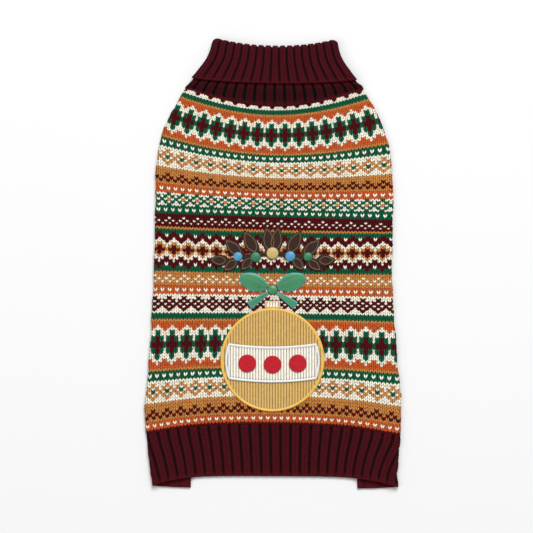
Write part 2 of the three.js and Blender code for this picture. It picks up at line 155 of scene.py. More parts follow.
# The sweater was smoothed flat by hand, so its courses don't run quite level: how many courses past their
# place they lie at the left, in the middle and at the right, and how far in millimetres the sewn-on pieces
# draw the stitches in from the left and from the right.
LIE_COLUMNS = "course left middle right fromLeft fromRight".split()
LIE = [
    (-1, -0.5, -0.1, 0.3, 1, 1.2),
    (12, -0.5, 0.15, 1.3, 0.5, 0.7),
    (28, -1.1, 0, 1.4, 0, 0),
    (50, -0.7, -0.5, 1.3, 0.5, 1),
    (58, -1.15, -0.4, 0.2, 2.2, 3.3),
    (75, -0.65, -0.1, 0.35, 2.6, 4.8),
    (94, -0.15, 0, 0.5, 1.6, 6.8),
    (106, 0.35, 0.2, 1, 0.3, 7),
    (113, 0.7, 0.2, 1.2, -1.2, 6.4),
    (119, 0.5, 0.1, 1, -3, 5.8),
    (124, -0.5, -1, 0.1, -3, 5.8),
    (144, 0, 0, 0.4, 0, 0),
]
LIE_SIDE = 100  # distance from the centre line at which the table's left and right hold
LIE_REACH = 1.2  # how far out the cloth goes on sloping, as a share of that distance
DRAWN_MOST = 75  # distance from the centre line at which the stitches are drawn in most
DRAWN_EASES = 85  # where this begins to ease towards the side folds
EASE_WIDTH = 45
EASE_SHARE = 0.35

# Soft creases of the back: X and Y of both ends of each, its half width and its height over the flat cloth.
CREASES = [
    (-88, 132, -52, 118, 9, 0.9),
    (-98, 96, -70, 112, 7, -0.7),
    (92, 128, 58, 112, 10, 0.9),
    (101, 88, 74, 100, 8, 0.7),
    (-60, 8, -86, 26, 9, 0.8),
    (62, 4, 92, 18, 8, 0.9),
    (-64, -62, -98, -50, 10, 0.7),
    (66, -80, 102, -66, 8, 0.8),
    (-60, -142, -92, -160, 9, 0.9),
    (56, -150, 84, -166, 8, 0.8),
    (-20, 70, -24, 26, 14, 0.5),
    (30, 92, 36, 52, 12, -0.4),
    (108, -20, 112, -92, 7, 0.6),
    (-110, -90, -114, -150, 7, 0.7),
]
# The same on the belly, where the cloth can only lift off the surface below it.
BELLY_CREASES = [
    (-58, 60, -30, 82, 9, 0.5),
    (52, 30, 20, 48, 11, 0.6),
    (-66, -20, -38, -34, 8, 0.45),
    (60, -60, 34, -88, 10, 0.55),
    (-30, -80, -62, -104, 9, 0.5),
]

# ---------------------------------------------------------------- the sewn-on pieces' cut

PATCH_LIFT = 0.45  # of the lowest pieces over the cloth, clear of its stitches
PATCH_STEP = 1.5  # from the top of one layer of pieces to the top of the next
BAUBLE_Y = -103
BAUBLE_RADIUS = 55
BAND_HALF = 19  # half the height of the band across the bauble
BAND_INSET = 4.5  # of its ends from the bauble's edge
BAND_BOW = 5  # how far its middle hangs below its ends
CAP_HALF = 8  # half the width of the bauble's cap
CAP_BOTTOM = -47.5
CAP_TOP = -40
DISC_RADIUS = 9.5
DISC_SPACING = 27
KNOT_Y = -28
KNOT_RADIUS = 5.5
BOUGH_HALF = 46  # half the length of the bough's stem
STEM_HALF = 2.2  # half the width of its stem
STEM_END_Y = 3
STEM_ARCH = 7  # how far its middle rises over its ends
# The leaves on the right half of the bough, mirrored on the left: where each grows, as a share of the
# half bough, its turn from +X in degrees, its length and its half width.
LEAVES = [
    (0.03, 80, 30, 7.5),
    (0.36, 62, 30, 7.5),
    (0.68, 44, 28, 7),
    (1, 2, 22, 6.5),
    (0.78, -40, 22, 6),
    (0.45, -52, 21, 6),
]
# Each berry's place along the bough, its height over the stem's middle, its radius, and its threads' turn.
BERRIES = {
    "berry_blue_left": (-37, 2, 5, 0.5),
    "berry_green_left": (-18, -2, 5.5, -0.4),
    "berry_gold": (0, 1, 6.5, 0.2),
    "berry_blue_right": (19, -1, 5.5, 0.9),
    "berry_green_right": (38, 2, 5, -0.7),
}


def stem_y(x):
    return STEM_END_Y + STEM_ARCH * (1 - (x / BOUGH_HALF) ** 2)


# How wide a loop, a tail or a leaf is at each share `t` of its length, as a share of its full width.


def loop_ends(t):
    return 0.2 + 0.8 * np.sin(np.pi * (0.05 + 0.88 * t))


def tail_ends(t):
    return 0.4 + 0.6 * t


def leaf_ends(t):
    return 0.12 + 0.88 * np.sin(np.pi * t**0.85) ** 0.9 - 0.1 * t


# ---------------------------------------------------------------- the knitting chart

# Each word is one course over four stitches, from the middle column to the right:
# C cream, B burgundy, G green, T tan, R red-orange.
EDGING = "BCCC CCCC GGGG GGGG"
DIAMONDS = "TTTT RRRR CRRR CCRC GCCC GCCC BGCG BGCG BBGB BBGB BGCG BGCG GCCC GCCC CCRC CRRR RRRR TTTT"
GREEN_LICE = "GGGG CGCG GGGG"
TRELLIS = "CCCC CCCT TCTC CTCG TCTC CCCT CCCC"
CROWNS = "TTTT TTTT TTTB BTBT TBTB TTTT"
RED_LICE = "RRRR RCRC RRRR"
SNOW = "CCCG GCGC CGCT GCGC CCCG GGGG CGCG GGGG"
BURGUNDY_DOTS = "BBBB BBBC CBCB BCBC BBBB TTTT"
FLOWERS = "GGGG BGGG BBCB CBBB CCBC TCCC BTCT BBTB BTCT TCCC CCBC CBBB BBCB BGGG GGGG"
TAN_DOTS = "TTTT TTTC CTCT TCTC TTTT"
LATTICE = "CCCC CCCB BCBC CBCB BCBC CCCB CCCC GGGG GGGG"
CHART = " ".join(
    [
        EDGING, DIAMONDS, GREEN_LICE, TRELLIS, CROWNS, RED_LICE, SNOW, BURGUNDY_DOTS, FLOWERS, TAN_DOTS,
        RED_LICE, LATTICE, DIAMONDS, GREEN_LICE, TRELLIS, CROWNS, RED_LICE,
    ]
).split()
YARNS = "BGTRC"


def to_linear(colour):
    """An sRGB hex colour as linear RGB."""
    parts = [int(colour[i : i + 2], 16) / 255 for i in (1, 3, 5)]
    return tuple(p / 12.92 if p <= 0.04045 else ((p + 0.055) / 1.055) ** 2.4 for p in parts)


def colour(name, default, description):
    look = {"default": to_linear(default), "size": 3, "min": 0, "max": 1, "subtype": "COLOR"}
    return FloatVectorProperty(name=name, description=description, **look)


def length(name, default, description):
    size = {"default": default * MM, "unit": "LENGTH", "precision": 5}
    return FloatProperty(name=name, description=description, **size)


class SweaterKnit(PropertyGroup):
    """Sizes of the stitches and of the sewn-on pieces' surfaces."""

    slant: FloatProperty(name="Slant", description="Fall of a stitch's legs, in courses", default=0.72)
    relief: length("Relief", 0.75, "Height of a stitch's legs over the hollows between them")
    rib_pitch: length("Rib pitch", 10.95, "Distance between two ribs of the hem")
    rib_relief: length("Rib relief", 1.6, "Depth of the hollow between two ribs")
    collar_ribs: IntProperty(name="Collar ribs", description="Ribs round the collar", default=35, min=8)
    cuff_ribs: IntProperty(name="Cuff ribs", description="Ribs round a leg cuff", default=16, min=4)
    wale_pitch: length("Wale pitch", 3.0, "Distance between two wales of the corduroy")
    wale_depth: length("Wale depth", 0.6, "Depth of the groove between two wales")
    thread_pitch: length("Thread pitch", 0.9, "Distance between two threads of satin stitch")


class SweaterColours(PropertyGroup):
    """Colours of the yarns, the sewn-on cloths and the embroidery threads."""

    burgundy: colour("Burgundy rib yarn", "#400710", "Ribs")
    # Painted light: the motifs' yarn is the ribs' burgundy yarn, painted lighter because smooth stockinette
    # is less shaded than deep rib.
    claret: colour("Burgundy motif yarn", "#52090F", "Dark motifs of the body")
    green: colour("Green yarn", "#0A5A3D", "Green bands")
    tan: colour("Tan yarn", "#CA8442", "Tan bands")
    orange: colour("Red-orange yarn", "#CB5A2A", "Red-orange bands")
    cream: colour("Cream yarn", "#FFF9E4", "Ground of the body")
    corduroy: colour("Tan corduroy", "#B99658", "Bauble")
    pale_corduroy: colour("Cream corduroy", "#D4CDBF", "Band and cap of the bauble")
    red_felt: colour("Red felt", "#9D1420", "Discs on the band")
    brown_felt: colour("Brown felt", "#2A1B12", "Bough")
    teal: colour("Teal ribbon", "#2C764B", "Bow")
    aqua: colour("Aqua thread", "#4399AC", "Edge of the bow")
    gold: colour("Gold thread", "#D4A947", "Edge of the bauble")
    white: colour("White thread", "#CFD1CF", "Edge of the band")
    grey: colour("Grey thread", "#7F8184", "Thin line inside the band's edge")
    umber: colour("Umber thread", "#6E5039", "Lines stitched on the bough")
    blue: colour("Blue thread", "#387EA0", "Blue berries")
    leaf: colour("Green thread", "#146442", "Green berries")
    sand: colour("Sand thread", "#AB925A", "Middle berry")


# ---------------------------------------------------------------- materials


def add_node(tree, kind, inputs, **attributes):
    """A new node with its attributes set, and its inputs set or linked."""
    node = tree.nodes.new(kind)
    for key, value in attributes.items():
        setattr(node, key, value)
    for key, value in inputs.items():
        if isinstance(value, bpy.types.NodeSocket):
            tree.links.new(value, node.inputs[key])
        else:
            node.inputs[key].default_value = value
    return node


# Each real material: its soft mottle's patches to the metre and their darkest and lightest tone, how bright
# its painted shade leaves its deepest hollow, its fibres to the metre and the height of their bump in
# millimetres, and then its roughness, its specular level, its sheen and the sheen's roughness.
FINISH_COLUMNS = "patches dark light hollow fibres bump roughness specular sheen fluff".split()
FINISHES = {
    # Matt, with uneven dye and loose fibres, and deep shadow in the hollows between the yarn's loops.
    "acrylic yarn": (600, 0.72, 1.26, 0, 1800, 0.2, 0.9, 0.08, 0.01, 0.5),
    # Velvety wales with a soft pale bloom, and painted shade darkening the grooves between them.
    "cotton corduroy": (300, 0.9, 1.08, 0.22, 1500, 0.15, 0.85, 0.15, 0.15, 0.4),
    # Pressed, matt and furry, with matted fibres that mottle it slightly, and painted shade at its rounded
    # edges.
    "wool felt": (520, 0.82, 1.14, 0.4, 1200, 0.35, 0.95, 0.1, 0.1, 0.6),
    # Embroidery thread in satin stitch: smooth and glossy along its length, with painted shade between the
    # threads.
    "rayon thread": (240, 0.92, 1.07, 0.62, 2600, 0.08, 0.42, 0.4, 0.1, 0.3),
    # A dense weave with a soft gloss, and painted shade in its folds.
    "satin ribbon": (200, 0.92, 1.06, 0.6, 2400, 0.06, 0.36, 0.4, 0.15, 0.3),
}


def dyed(context, kind, tint):
    """One material in one of the sweater's colours, mottled by soft noise, with painted shade in its hollows,
    and fibrous.
    """
    name = f"{kind}, {tint}"
    made = bpy.data.materials.get(name)
    if made:
        return made
    finish = dict(zip(FINISH_COLUMNS, FINISHES[kind]))
    made = bpy.data.materials.new(name)
    made.use_nodes = True
    tree = made.node_tree
    tree.nodes.clear()
    place = add_node(tree, "ShaderNodeTexCoord", {}).outputs["Object"]
    hollow = add_node(tree, "ShaderNodeAttribute", {}, attribute_name="hollow").outputs["Fac"]
    noise = {"Vector": place, "Detail": 3.0}
    patches, fibres = (
        add_node(tree, "ShaderNodeTexNoise", noise | {"Scale": finish[key]}).outputs["Fac"]
        for key in ("patches", "fibres")
    )
    tones = {"To Min": finish["dark"], "To Max": finish["light"]}
    mottle = {"Value": patches, "From Min": 0.3, "From Max": 0.7} | tones
    tone = add_node(tree, "ShaderNodeMapRange", mottle).outputs["Result"]
    # Painted shade: the hollow attribute darkens the colour towards the finish's hollow tone.
    painted_shade_range = {"Value": hollow, "To Min": 1.0, "To Max": finish["hollow"]}
    painted_shade = add_node(tree, "ShaderNodeMapRange", painted_shade_range).outputs["Result"]
    both = add_node(tree, "ShaderNodeMath", {0: tone, 1: painted_shade}, operation="MULTIPLY").outputs["Value"]
    rgb = tuple(getattr(context.scene.sweater_colours, tint))
    base = add_node(tree, "ShaderNodeVectorMath", {0: rgb, "Scale": both}, operation="SCALE")
    fuzz = {"Height": fibres, "Strength": 0.6, "Distance": finish["bump"] * MM}
    surface = {
        "Base Color": base.outputs["Vector"],
        "Normal": add_node(tree, "ShaderNodeBump", fuzz).outputs["Normal"],
        "Roughness": finish["roughness"],
        "Specular IOR Level": finish["specular"],
        "Sheen Weight": finish["sheen"],
        "Sheen Roughness": finish["fluff"],
    }
    shader = add_node(tree, "ShaderNodeBsdfPrincipled", surface)
    add_node(tree, "ShaderNodeOutputMaterial", {"Surface": shader.outputs["BSDF"]})
    return made


def yarns(context):
    """The body's five yarns in the order of YARNS."""
    return [dyed(context, "acrylic yarn", tint) for tint in ("claret", "green", "tan", "orange", "cream")]


# ---------------------------------------------------------------- the cloth's surface


def smooth(t):
    t = np.clip(t, 0, 1)
    return t * t * (3 - 2 * t)


def lerp(a, b, t):
    return a + (b - a) * t


def curve(rows, columns, value):
    """Every column of a table at `value` of its first column, on a smooth curve through the rows."""
    table = np.asarray(rows, float)
    keys = table[:, 0]
    value = np.asarray(value, float)
    last = len(keys) - 1
    i = np.clip(np.searchsorted(keys, value, side="right") - 1, 0, last - 1)
    before, after = np.maximum(np.arange(last + 1) - 1, 0), np.minimum(np.arange(last + 1) + 1, last)
    slopes = (table[after] - table[before]) / (keys[after] - keys[before])[:, None]
    span = (keys[i + 1] - keys[i])[..., None]
    t = (value[..., None] - keys[i][..., None]) / span
    found = (
        table[i] * (2 * t**3 - 3 * t**2 + 1)
        + table[i + 1] * (3 * t**2 - 2 * t**3)
        + slopes[i] * span * (t**3 - 2 * t**2 + t)
        + slopes[i + 1] * span * (t**3 - t**2)
    )
    return {name: found[..., k] for k, name in enumerate(columns)}


def body_row(course):
    return curve(BODY, BODY_COLUMNS, course)


def creases(table, x, y):
    """Height of soft creases over the flat cloth: each a rounded ridge or trough that fades at its ends."""
    height = 0 * x
    for x0, y0, x1, y1, width, rise in table:
        run = math.hypot(x1 - x0, y1 - y0)
        along = ((x - x0) * (x1 - x0) + (y - y0) * (y1 - y0)) / run**2
        aside = ((x - x0) * (y1 - y0) - (y - y0) * (x1 - x0)) / run
        beyond = np.maximum(np.maximum(-along, along - 1), 0) * run
        height = height + rise * np.exp(-(aside**2 + beyond**2) / width**2)
    return height


def ripple(course, side):
    """How far the side fold swells out or in, unevenly from course to course, in millimetres."""
    swell = 0.2 * np.sin(0.83 * course + side) + 0.35 * np.sin(0.37 * course - 2 * side)
    return swell + 0.12 * np.sin(1.9 * course)


BELLY_END_Y = float(body_row(BELLY_END_COURSE)["bellyY"])


def back_height(x, y, seam):
    """Height of the middle of the back's cloth: highest over its wrapped edges, low past the belly's end."""
    past = smooth((BELLY_END_Y - y) / BELLY_SLOPE)
    middle = lerp(HALF_CLOTH + CLOTH + LAYER_AIR, HALF_CLOTH + LOW_LIFT, past)
    edge = smooth((np.abs(x) - seam + WRAP_SLOPE / 2) / WRAP_SLOPE)
    return lerp(middle, HALF_CLOTH + 2 * SIDE_FOLD, edge)


def back_limit(course):
    """Distance round the cloth from the centre line to the underside seam."""
    row = body_row(course)
    flat = row["half"] - HALF_CLOTH - SIDE_FOLD
    return 2 * flat - row["seam"] + math.pi * SIDE_FOLD


def back_surface(course, arc, out):
    """Points of the back `arc` mm round from the centre line and `out` mm outside the cloth's middle, and how
    far the outside faces up there: 1 on top, -1 underneath."""
    row = body_row(course)
    side = np.sign(arc)
    reach = row["half"] - HALF_CLOTH
    flat = reach - SIDE_FOLD
    run = np.abs(arc)
    turn = np.clip((run - flat) / SIDE_FOLD, 0, math.pi)
    under = np.maximum(run - flat - SIDE_FOLD * math.pi, 0)
    x = np.minimum(run, flat) + SIDE_FOLD * np.sin(turn) - under
    start = np.where(turn > math.pi / 2, row["bellyY"], row["backY"])
    y = start + (row["sideY"] - start) * (x / reach) ** row["power"]
    aside = x / reach
    top = back_height(x, y, row["seam"]) + creases(CREASES, side * x, y) * smooth((1 - aside) / 0.12)
    z = np.where(turn > 0, HALF_CLOTH + SIDE_FOLD * (1 + np.cos(turn)), top)
    x = x + ripple(course, side) * aside**12 + np.where(side > 0, row["bulge"], 0) * aside**6
    x = side * (x + out * np.sin(turn)) + row["shift"]
    return np.stack([x, y, z + out * np.cos(turn)], -1), np.cos(turn)


def belly_limit(course):
    return body_row(course)["seam"] - SEAM_GAP


def belly_surface(course, arc, out):
    """Points of the belly, which faces down; `arc` runs from +X to -X."""
    row = body_row(course)
    near = (np.abs(arc) / (row["half"] - HALF_CLOTH)) ** row["power"]
    y = row["bellyY"] + (row["sideY"] - row["bellyY"]) * near
    lift = creases(BELLY_CREASES, -arc, y) * smooth((row["seam"] - np.abs(arc)) / 12)
    return np.stack([row["shift"] - arc, y, HALF_CLOTH - out + lift], -1), np.full(np.shape(arc), -1.0)


def as_laid(course, arc, surface):
    """The courses as the cloth lies, so that each comes a little above or below its own place."""
    lie = curve(LIE, LIE_COLUMNS, course)
    across = np.clip(surface(course, arc, 0 * arc)[0][..., 0] / LIE_SIDE, -LIE_REACH, LIE_REACH)
    tilt = (lie["right"] - lie["left"]) / 2
    sag = (lie["right"] + lie["left"]) / 2 - lie["middle"]
    return course + lie["middle"] + tilt * across + sag * across**2


def drawn_in(course, arc):
    """The stitches' places round the back, drawn in behind the sewn-on pieces."""
    lie = curve(LIE, LIE_COLUMNS, course)
    eased = EASE_SHARE * smooth((np.abs(arc) - DRAWN_EASES) / EASE_WIDTH)
    pull = smooth(np.abs(arc) / DRAWN_MOST) * (1 - eased)
    return arc + np.where(arc < 0, lie["fromLeft"], -lie["fromRight"]) * pull


# ---------------------------------------------------------------- meshes


def add_mesh(name, points, faces, materials, face_materials, hollow):
    """A new object from points in millimetres, with smooth faces and, on its points, how dark the painted
    shade in its hollows is.
    """
    mesh = bpy.data.meshes.new(name)
    mesh.from_pydata((np.asarray(points) * MM).tolist(), [], faces)
    for material in materials:
        mesh.materials.append(material)
    indices = np.broadcast_to(np.asarray(face_materials, np.int32), len(faces))
    mesh.polygons.foreach_set("material_index", np.ascontiguousarray(indices))
    point_shade = mesh.attributes.new("hollow", "FLOAT", "POINT")
    point_shade.data.foreach_set("value", np.asarray(hollow, np.float32))
    mesh.shade_smooth()
    mesh.validate()
    made = bpy.data.objects.new(name, mesh)
    bpy.context.scene.collection.objects.link(made)
    return made


def grid_faces(rows, columns, ring=False, closed=False, flip=False):
    """Quads of a grid of points, row after row. A ring's rows each close on themselves, and in a closed grid
    the last row joins the first."""
    down = np.arange(rows if closed else rows - 1)
    across = np.arange(columns if ring else columns - 1)
    r, c = np.meshgrid(down, across, indexing="ij")
    below, beside = (r + 1) % rows, (c + 1) % columns
    corners = [r * columns + c, below * columns + c, below * columns + beside, r * columns + beside]
    quads = np.stack(corners, -1).reshape(-1, 4)
    return (quads[:, ::-1] if flip else quads).tolist()


def open_edges(faces):
    """Edges that only one face has, as a map from each edge's start to its end."""
    edges = {(a, b) for face in faces for a, b in zip(face, face[1:] + face[:1])}
    return {a: b for a, b in edges if (b, a) not in edges}


def edge_loop(following, start):
    """The points along the open edge of a surface, from the point `start`, in its faces' direction."""
    loop = [start]
    while following[loop[-1]] != start:
        loop.append(following[loop[-1]])
    return loop


def close_rim(points, outer, inner):
    """Faces between two edge loops that run side by side, shorter diagonals first."""
    inner = inner[:1] + inner[:0:-1]
    i = j = 0
    faces = []
    while i < len(outer) or j < len(inner):
        a, b = outer[i % len(outer)], inner[j % len(inner)]
        next_a, next_b = outer[(i + 1) % len(outer)], inner[(j + 1) % len(inner)]
        along_outer = np.sum((points[next_a] - points[b]) ** 2)
        along_inner = np.sum((points[next_b] - points[a]) ** 2)
        if j == len(inner) or (i < len(outer) and along_outer <= along_inner):
            faces.append([next_a, a, b])
            i += 1
        else:
            faces.append([b, next_b, a])
            j += 1
    return faces


def wall(outer, inner, faces):
    """Points and faces of a closed wall: an outer surface, the same surface inside, and the rims."""
    outer, inner = outer.reshape(-1, 3), inner.reshape(-1, 3)
    count = len(outer)
    inside = [[p + count for p in reversed(face)] for face in faces]
    rims = [[b, a, a + count, b + count] for a, b in open_edges(faces).items()]
    return np.concatenate([outer, inner]), faces + inside + rims


# ---------------------------------------------------------------- the knitted pieces


def leg_centre(side):
    row = body_row(LEG_COURSE)
    return side * float(row["seam"]), float(row["bellyY"]) + LEG_RISE


SEAM_SNAP = 0.5  # points this near a seam are moved onto it


def trimmed_surface(course, arc, out, surface, limit, flip=False):
    """A surface over a grid of courses and distances round the cloth, trimmed to the seams at both sides
    and open at the leg holes. Returns its points, its faces and each face's cell."""
    rows, columns = course.shape
    edge = limit(course)
    beyond = np.abs(arc) > edge - SEAM_SNAP
    arc = np.where(beyond, np.sign(arc) * edge, arc)
    points, up = surface(course, arc, out)
    label = np.arange(rows * columns).reshape(rows, columns)
    middle = columns // 2
    first = np.argmax(beyond[:, middle:], axis=1) + middle
    last = middle - np.argmax(beyond[:, middle::-1], axis=1)
    columns_at = np.clip(np.arange(columns)[None, :], last[:, None], first[:, None])
    label = np.take_along_axis(label, columns_at, axis=1)
    points = points.reshape(-1, 3)
    inside = np.zeros(len(points), bool)
    hole = np.array((LEG_HALF_WIDTH + SEAM_GAP, LEG_HALF_LENGTH + SEAM_GAP))
    for side in (-1, 1):
        centre = np.array(leg_centre(side))
        offset = (points[:, :2] - centre) / hole
        radius = np.hypot(*offset.T)
        hit = (radius < 1) & (up.reshape(-1) < 0)
        inside |= hit
        points[hit, :2] = (centre + offset / np.maximum(radius, 1e-3)[:, None] * hole)[hit]
    quads = np.stack([label[:-1, :-1], label[1:, :-1], label[1:, 1:], label[:-1, 1:]], -1).reshape(-1, 4)
    cells = np.arange(len(quads))
    keep = ~inside[quads].all(axis=1)
    faces, kept = [], []
    for quad, cell in zip(quads[keep].tolist(), cells[keep].tolist()):
        corners = [p for k, p in enumerate(quad) if p != quad[k - 1]]
        if len(corners) > 2:
            faces.append(corners[::-1] if flip else corners)
            kept.append(cell)
    return points, faces, np.array(kept)


def yarn_at(course, stitch):
    """The yarn of one stitch; past the chart's ends the courses are burgundy."""
    return YARNS.index(CHART[course][stitch % 4]) if 0 <= course < len(CHART) else 0


# One stitch over four columns of points, from the border before it to its second leg: how far each column
# falls, and, at a course line and at a course's middle, the height of the yarn and its hollow's painted
# shade.
STITCH_FALL = np.array([-0.5, 0, 0.5, 0])
STITCH_HEIGHT = np.array([[-0.3, 0.05, -1, 0.05], [0.1, 0.8, 0.1, 0.8]])
STITCH_SHADE = np.array([[0.94, 0.48, 1, 0.48], [0.66, 0, 0.58, 0]])
SIDE_STITCHES = 54  # more than reach either underside seam
# How far each yarn spreads over paler stitches beside it: partly the yarn's real bulk, partly painted shade,
# the darker yarn's colour laid over the paler stitches' shaded edges.
PLUMPNESS = {"B": 1.45, "G": 1.05, "T": 0.9, "R": 1.0, "C": 0.0}
LONE_PLUMPNESS = 1.15  # of a single cream stitch among pattern yarns
SPREAD = (0.21, 0.12)  # how far a pattern yarn spreads over cream, in stitches and in courses
STITCH_SLACK = (0.03, 0.035)  # how uneven the stitches' places are, in stitches and in courses
UNEVEN_HEIGHT = 0.06  # of the yarn, as a share of the relief
# how uneven the painted shade in the hollows is
UNEVEN_SHADE = 0.05
INSIDE_SHADE = 0.2  # painted shade on the knitting's plain inside
STITCH_SINK = 0.4  # how far the stitches lie in the cloth's face, as a share of the relief
TURN_SINK = 0.45  # how much further where the cloth stands upright, and twice that underneath


def spread_of(top, bottom):
    """How far each point of the stitches' grid is pushed across and down by plump yarns beside cream, which
    lays their colour over the cream stitches' edges as painted shade.
    """
    courses = np.clip(np.arange(top - 1, bottom + 1), 0, len(CHART) - 1)
    stitches = np.arange(-SIDE_STITCHES - 1, SIDE_STITCHES + 1)
    plump = np.array([[PLUMPNESS[CHART[c][s % 4]] for s in stitches.tolist()] for c in courses.tolist()])
    neighbours = [(a, b) for a in (-1, 0, 1) for b in (-1, 0, 1)]
    patterned = sum(np.roll(plump > 0, step, (0, 1)).astype(int) for step in neighbours)
    plump = np.where((plump == 0) & (patterned == 8), LONE_PLUMPNESS, plump)
    across = plump[1:-1, :-1] - plump[1:-1, 1:]
    down = plump[:-1, 1:-1] - plump[1:, 1:-1]
    shift_x = np.zeros((2 * (bottom - top) + 1, 8 * SIDE_STITCHES + 1))
    shift_y = np.zeros_like(shift_x)
    shift_x[1::2, ::4] = across
    corner = np.pad(across, ((1, 1), (0, 0)), mode="edge")
    shift_x[::2, ::4] = (corner[:-1] + corner[1:]) / 2
    shift_x[:, 1::4], shift_x[:, 3::4] = shift_x[:, :-1:4] / 2, shift_x[:, 4::4] / 2
    for column in (1, 2, 3):
        shift_y[::2, column::4] = down
    corner = np.pad(down, ((0, 0), (1, 1)), mode="edge")
    shift_y[::2, ::4] = (corner[:, :-1] + corner[:, 1:]) / 2
    return shift_x * SPREAD[0], shift_y * SPREAD[1]


def stockinette(context, name, surface, limit, top, bottom, axis, place=lambda course, arc: arc):
    """A stockinette panel between two courses: every stitch a V of two plump legs outside, plain inside."""
    knit = context.scene.sweater_knit
    random = np.random.default_rng(7)
    line = np.arange(2 * (bottom - top) + 1) / 2 + top
    across = np.arange(-4 * SIDE_STITCHES, 4 * SIDE_STITCHES + 1) / 4 - 0.5
    column = np.arange(len(across)) % 4
    taper = np.clip(np.minimum(line - top, bottom - line), 0, 1)
    slack = random.normal(0, STITCH_SLACK[1], (len(line), len(across)))
    aside, down = spread_of(top, bottom)
    course = line[:, None] + (knit.slant * STITCH_FALL[column][None, :] + down + slack) * taper[:, None]
    aside = aside + across[None, :] + random.normal(0, STITCH_SLACK[0], course.shape)
    arc = place(course, axis + aside * body_row(course)["stitch"])
    course = as_laid(course, arc, surface)
    odd = np.arange(len(line)) % 2
    height = STITCH_HEIGHT[odd][:, column] + random.normal(0, UNEVEN_HEIGHT, course.shape)
    _, up = surface(course, arc, 0 * course)
    out = HALF_CLOTH + knit.relief / MM * (height - STITCH_SINK - TURN_SINK * (1 - up))
    points, faces, cells = trimmed_surface(course, arc, out, surface, limit)
    cell_row, cell_column = np.divmod(cells, len(across) - 1)
    courses, stitches = top + cell_row // 2, cell_column // 4 - SIDE_STITCHES
    colours = [yarn_at(c, s) for c, s in zip(courses.tolist(), stitches.tolist())]
    wide_line = np.linspace(top, bottom, (bottom - top) // 2 + 1)
    wide_across = np.arange(-SIDE_STITCHES, SIDE_STITCHES + 1, 2.0)
    wide = np.repeat(wide_line[:, None], len(wide_across), 1)
    wide_arc = place(wide, axis + wide_across[None, :] * body_row(wide)["stitch"])
    wide_course = as_laid(wide, wide_arc, surface)
    flat = np.full(wide.shape, -HALF_CLOTH)
    inner, inner_faces, cells = trimmed_surface(wide_course, wide_arc, flat, surface, limit, flip=True)
    inner_colours = [yarn_at(c, 1) for c in (top + 2 * (cells // (len(wide_across) - 1))).tolist()]
    # Painted shade: how dark each point's hollow is made in the yarn's colour.
    depth = np.clip(STITCH_SHADE[odd][:, column] + random.normal(0, UNEVEN_SHADE, course.shape), 0, 1)
    hollow = np.concatenate([depth.reshape(-1), np.full(len(inner), INSIDE_SHADE)])
    inner_faces = [[p + len(points) for p in face] for face in inner_faces]
    points = np.concatenate([points, inner])
    outer_edge, inner_edge = open_edges(faces), open_edges(inner_faces)
    start = min(outer_edge, key=lambda p: points[p, 0] - points[p, 1])
    begin = min(inner_edge, key=lambda p: np.sum((points[p] - points[start]) ** 2))
    rim = close_rim(points, edge_loop(outer_edge, start), edge_loop(inner_edge, begin))
    all_faces = faces + inner_faces + rim
    used, numbers = np.unique(np.concatenate(all_faces), return_inverse=True)
    numbers, ends = numbers.tolist(), np.cumsum([len(face) for face in all_faces]).tolist()
    all_faces = [numbers[a:b] for a, b in zip([0] + ends, ends)]
    colours += inner_colours + [0] * len(rim)
    return add_mesh(name, points[used], all_faces, yarns(context), colours, hollow[used])


# One rib, from the middle of a hollow over two columns of stitches to the next hollow: the height at a
# course line and at a course's middle, its hollow's painted shade there, and how far the course line falls.
RIB_HEIGHT = np.array(
    [
        [-1, -0.75, -0.2, 0.05, -0.12, 0.08, -0.3, 0.08, -0.12, 0.05, -0.2, -0.75],
        [-0.95, -0.6, 0.0, 0.2, 0.12, 0.28, -0.1, 0.28, 0.12, 0.2, 0.0, -0.6],
    ]
)
RIB_SHADE = np.array(
    [
        [1, 0.85, 0.5, 0.36, 0.46, 0.34, 0.62, 0.34, 0.46, 0.36, 0.5, 0.85],
        [1, 0.75, 0.28, 0.06, 0.1, 0, 0.4, 0, 0.1, 0.06, 0.28, 0.75],
    ]
)
RIB_FALL = np.array([0, 0, -0.5, -0.1, 0.4, -0.1, -0.5, -0.1, 0.4, -0.1, -0.5, 0])
HEM_HOLLOW = -3.0  # from the centre line to one of the hollows between the hem's ribs
RIB_SLIDE = (5.0, 12.0)  # how far the ribs lean in at the hem's lower corners, left and right
RIB_UNEVEN = 0.04  # of the ribs' courses and of their height
RIB_SINK = 0.05  # how far the ribs lie in the cloth's face, as a share of their relief
LEAN_FULL = 130  # distance round from the centre line at which the ribs lean in by their slide
LEAN_ENDS = 138  # and where, round the side fold, this begins to fade
LEAN_FADES = 38
RIB_CREST = 0.25  # height over which the crests are pressed flat on a hidden face
INSIDE_RELIEF = 0.4  # of the ribs on the cloth's inside, as a share of their relief
LIP_FLAT = 0.6  # how much the ribs flatten at a free edge
LIP_COURSES = (1.1, 1.3)  # how far in they do so on top, and how much further where the cloth stands upright
HEM_CURL = 0.3  # how far the hem's edge curls up
HEM_UNDER = 0.45  # how far the ribs sink in on the underside, as a share of their relief
COLUMN_CLEAR = 0.4  # least gap between the seams and a column of points, in twelfths of a rib


def rib(table, lines, steps):
    """A rib table over a grid of course half-lines and twelfths of a rib."""
    return table[np.arange(lines) % 2][:, np.asarray(steps) % 12]


def rib_rise(relief, height, lip, under, up):
    """How far ribs stand out of the cloth's face: flatter near a free edge, and sunk in on the underside."""
    return relief * (height * (1 - LIP_FLAT * lip) - under * (1 - up) / 2 - RIB_SINK)


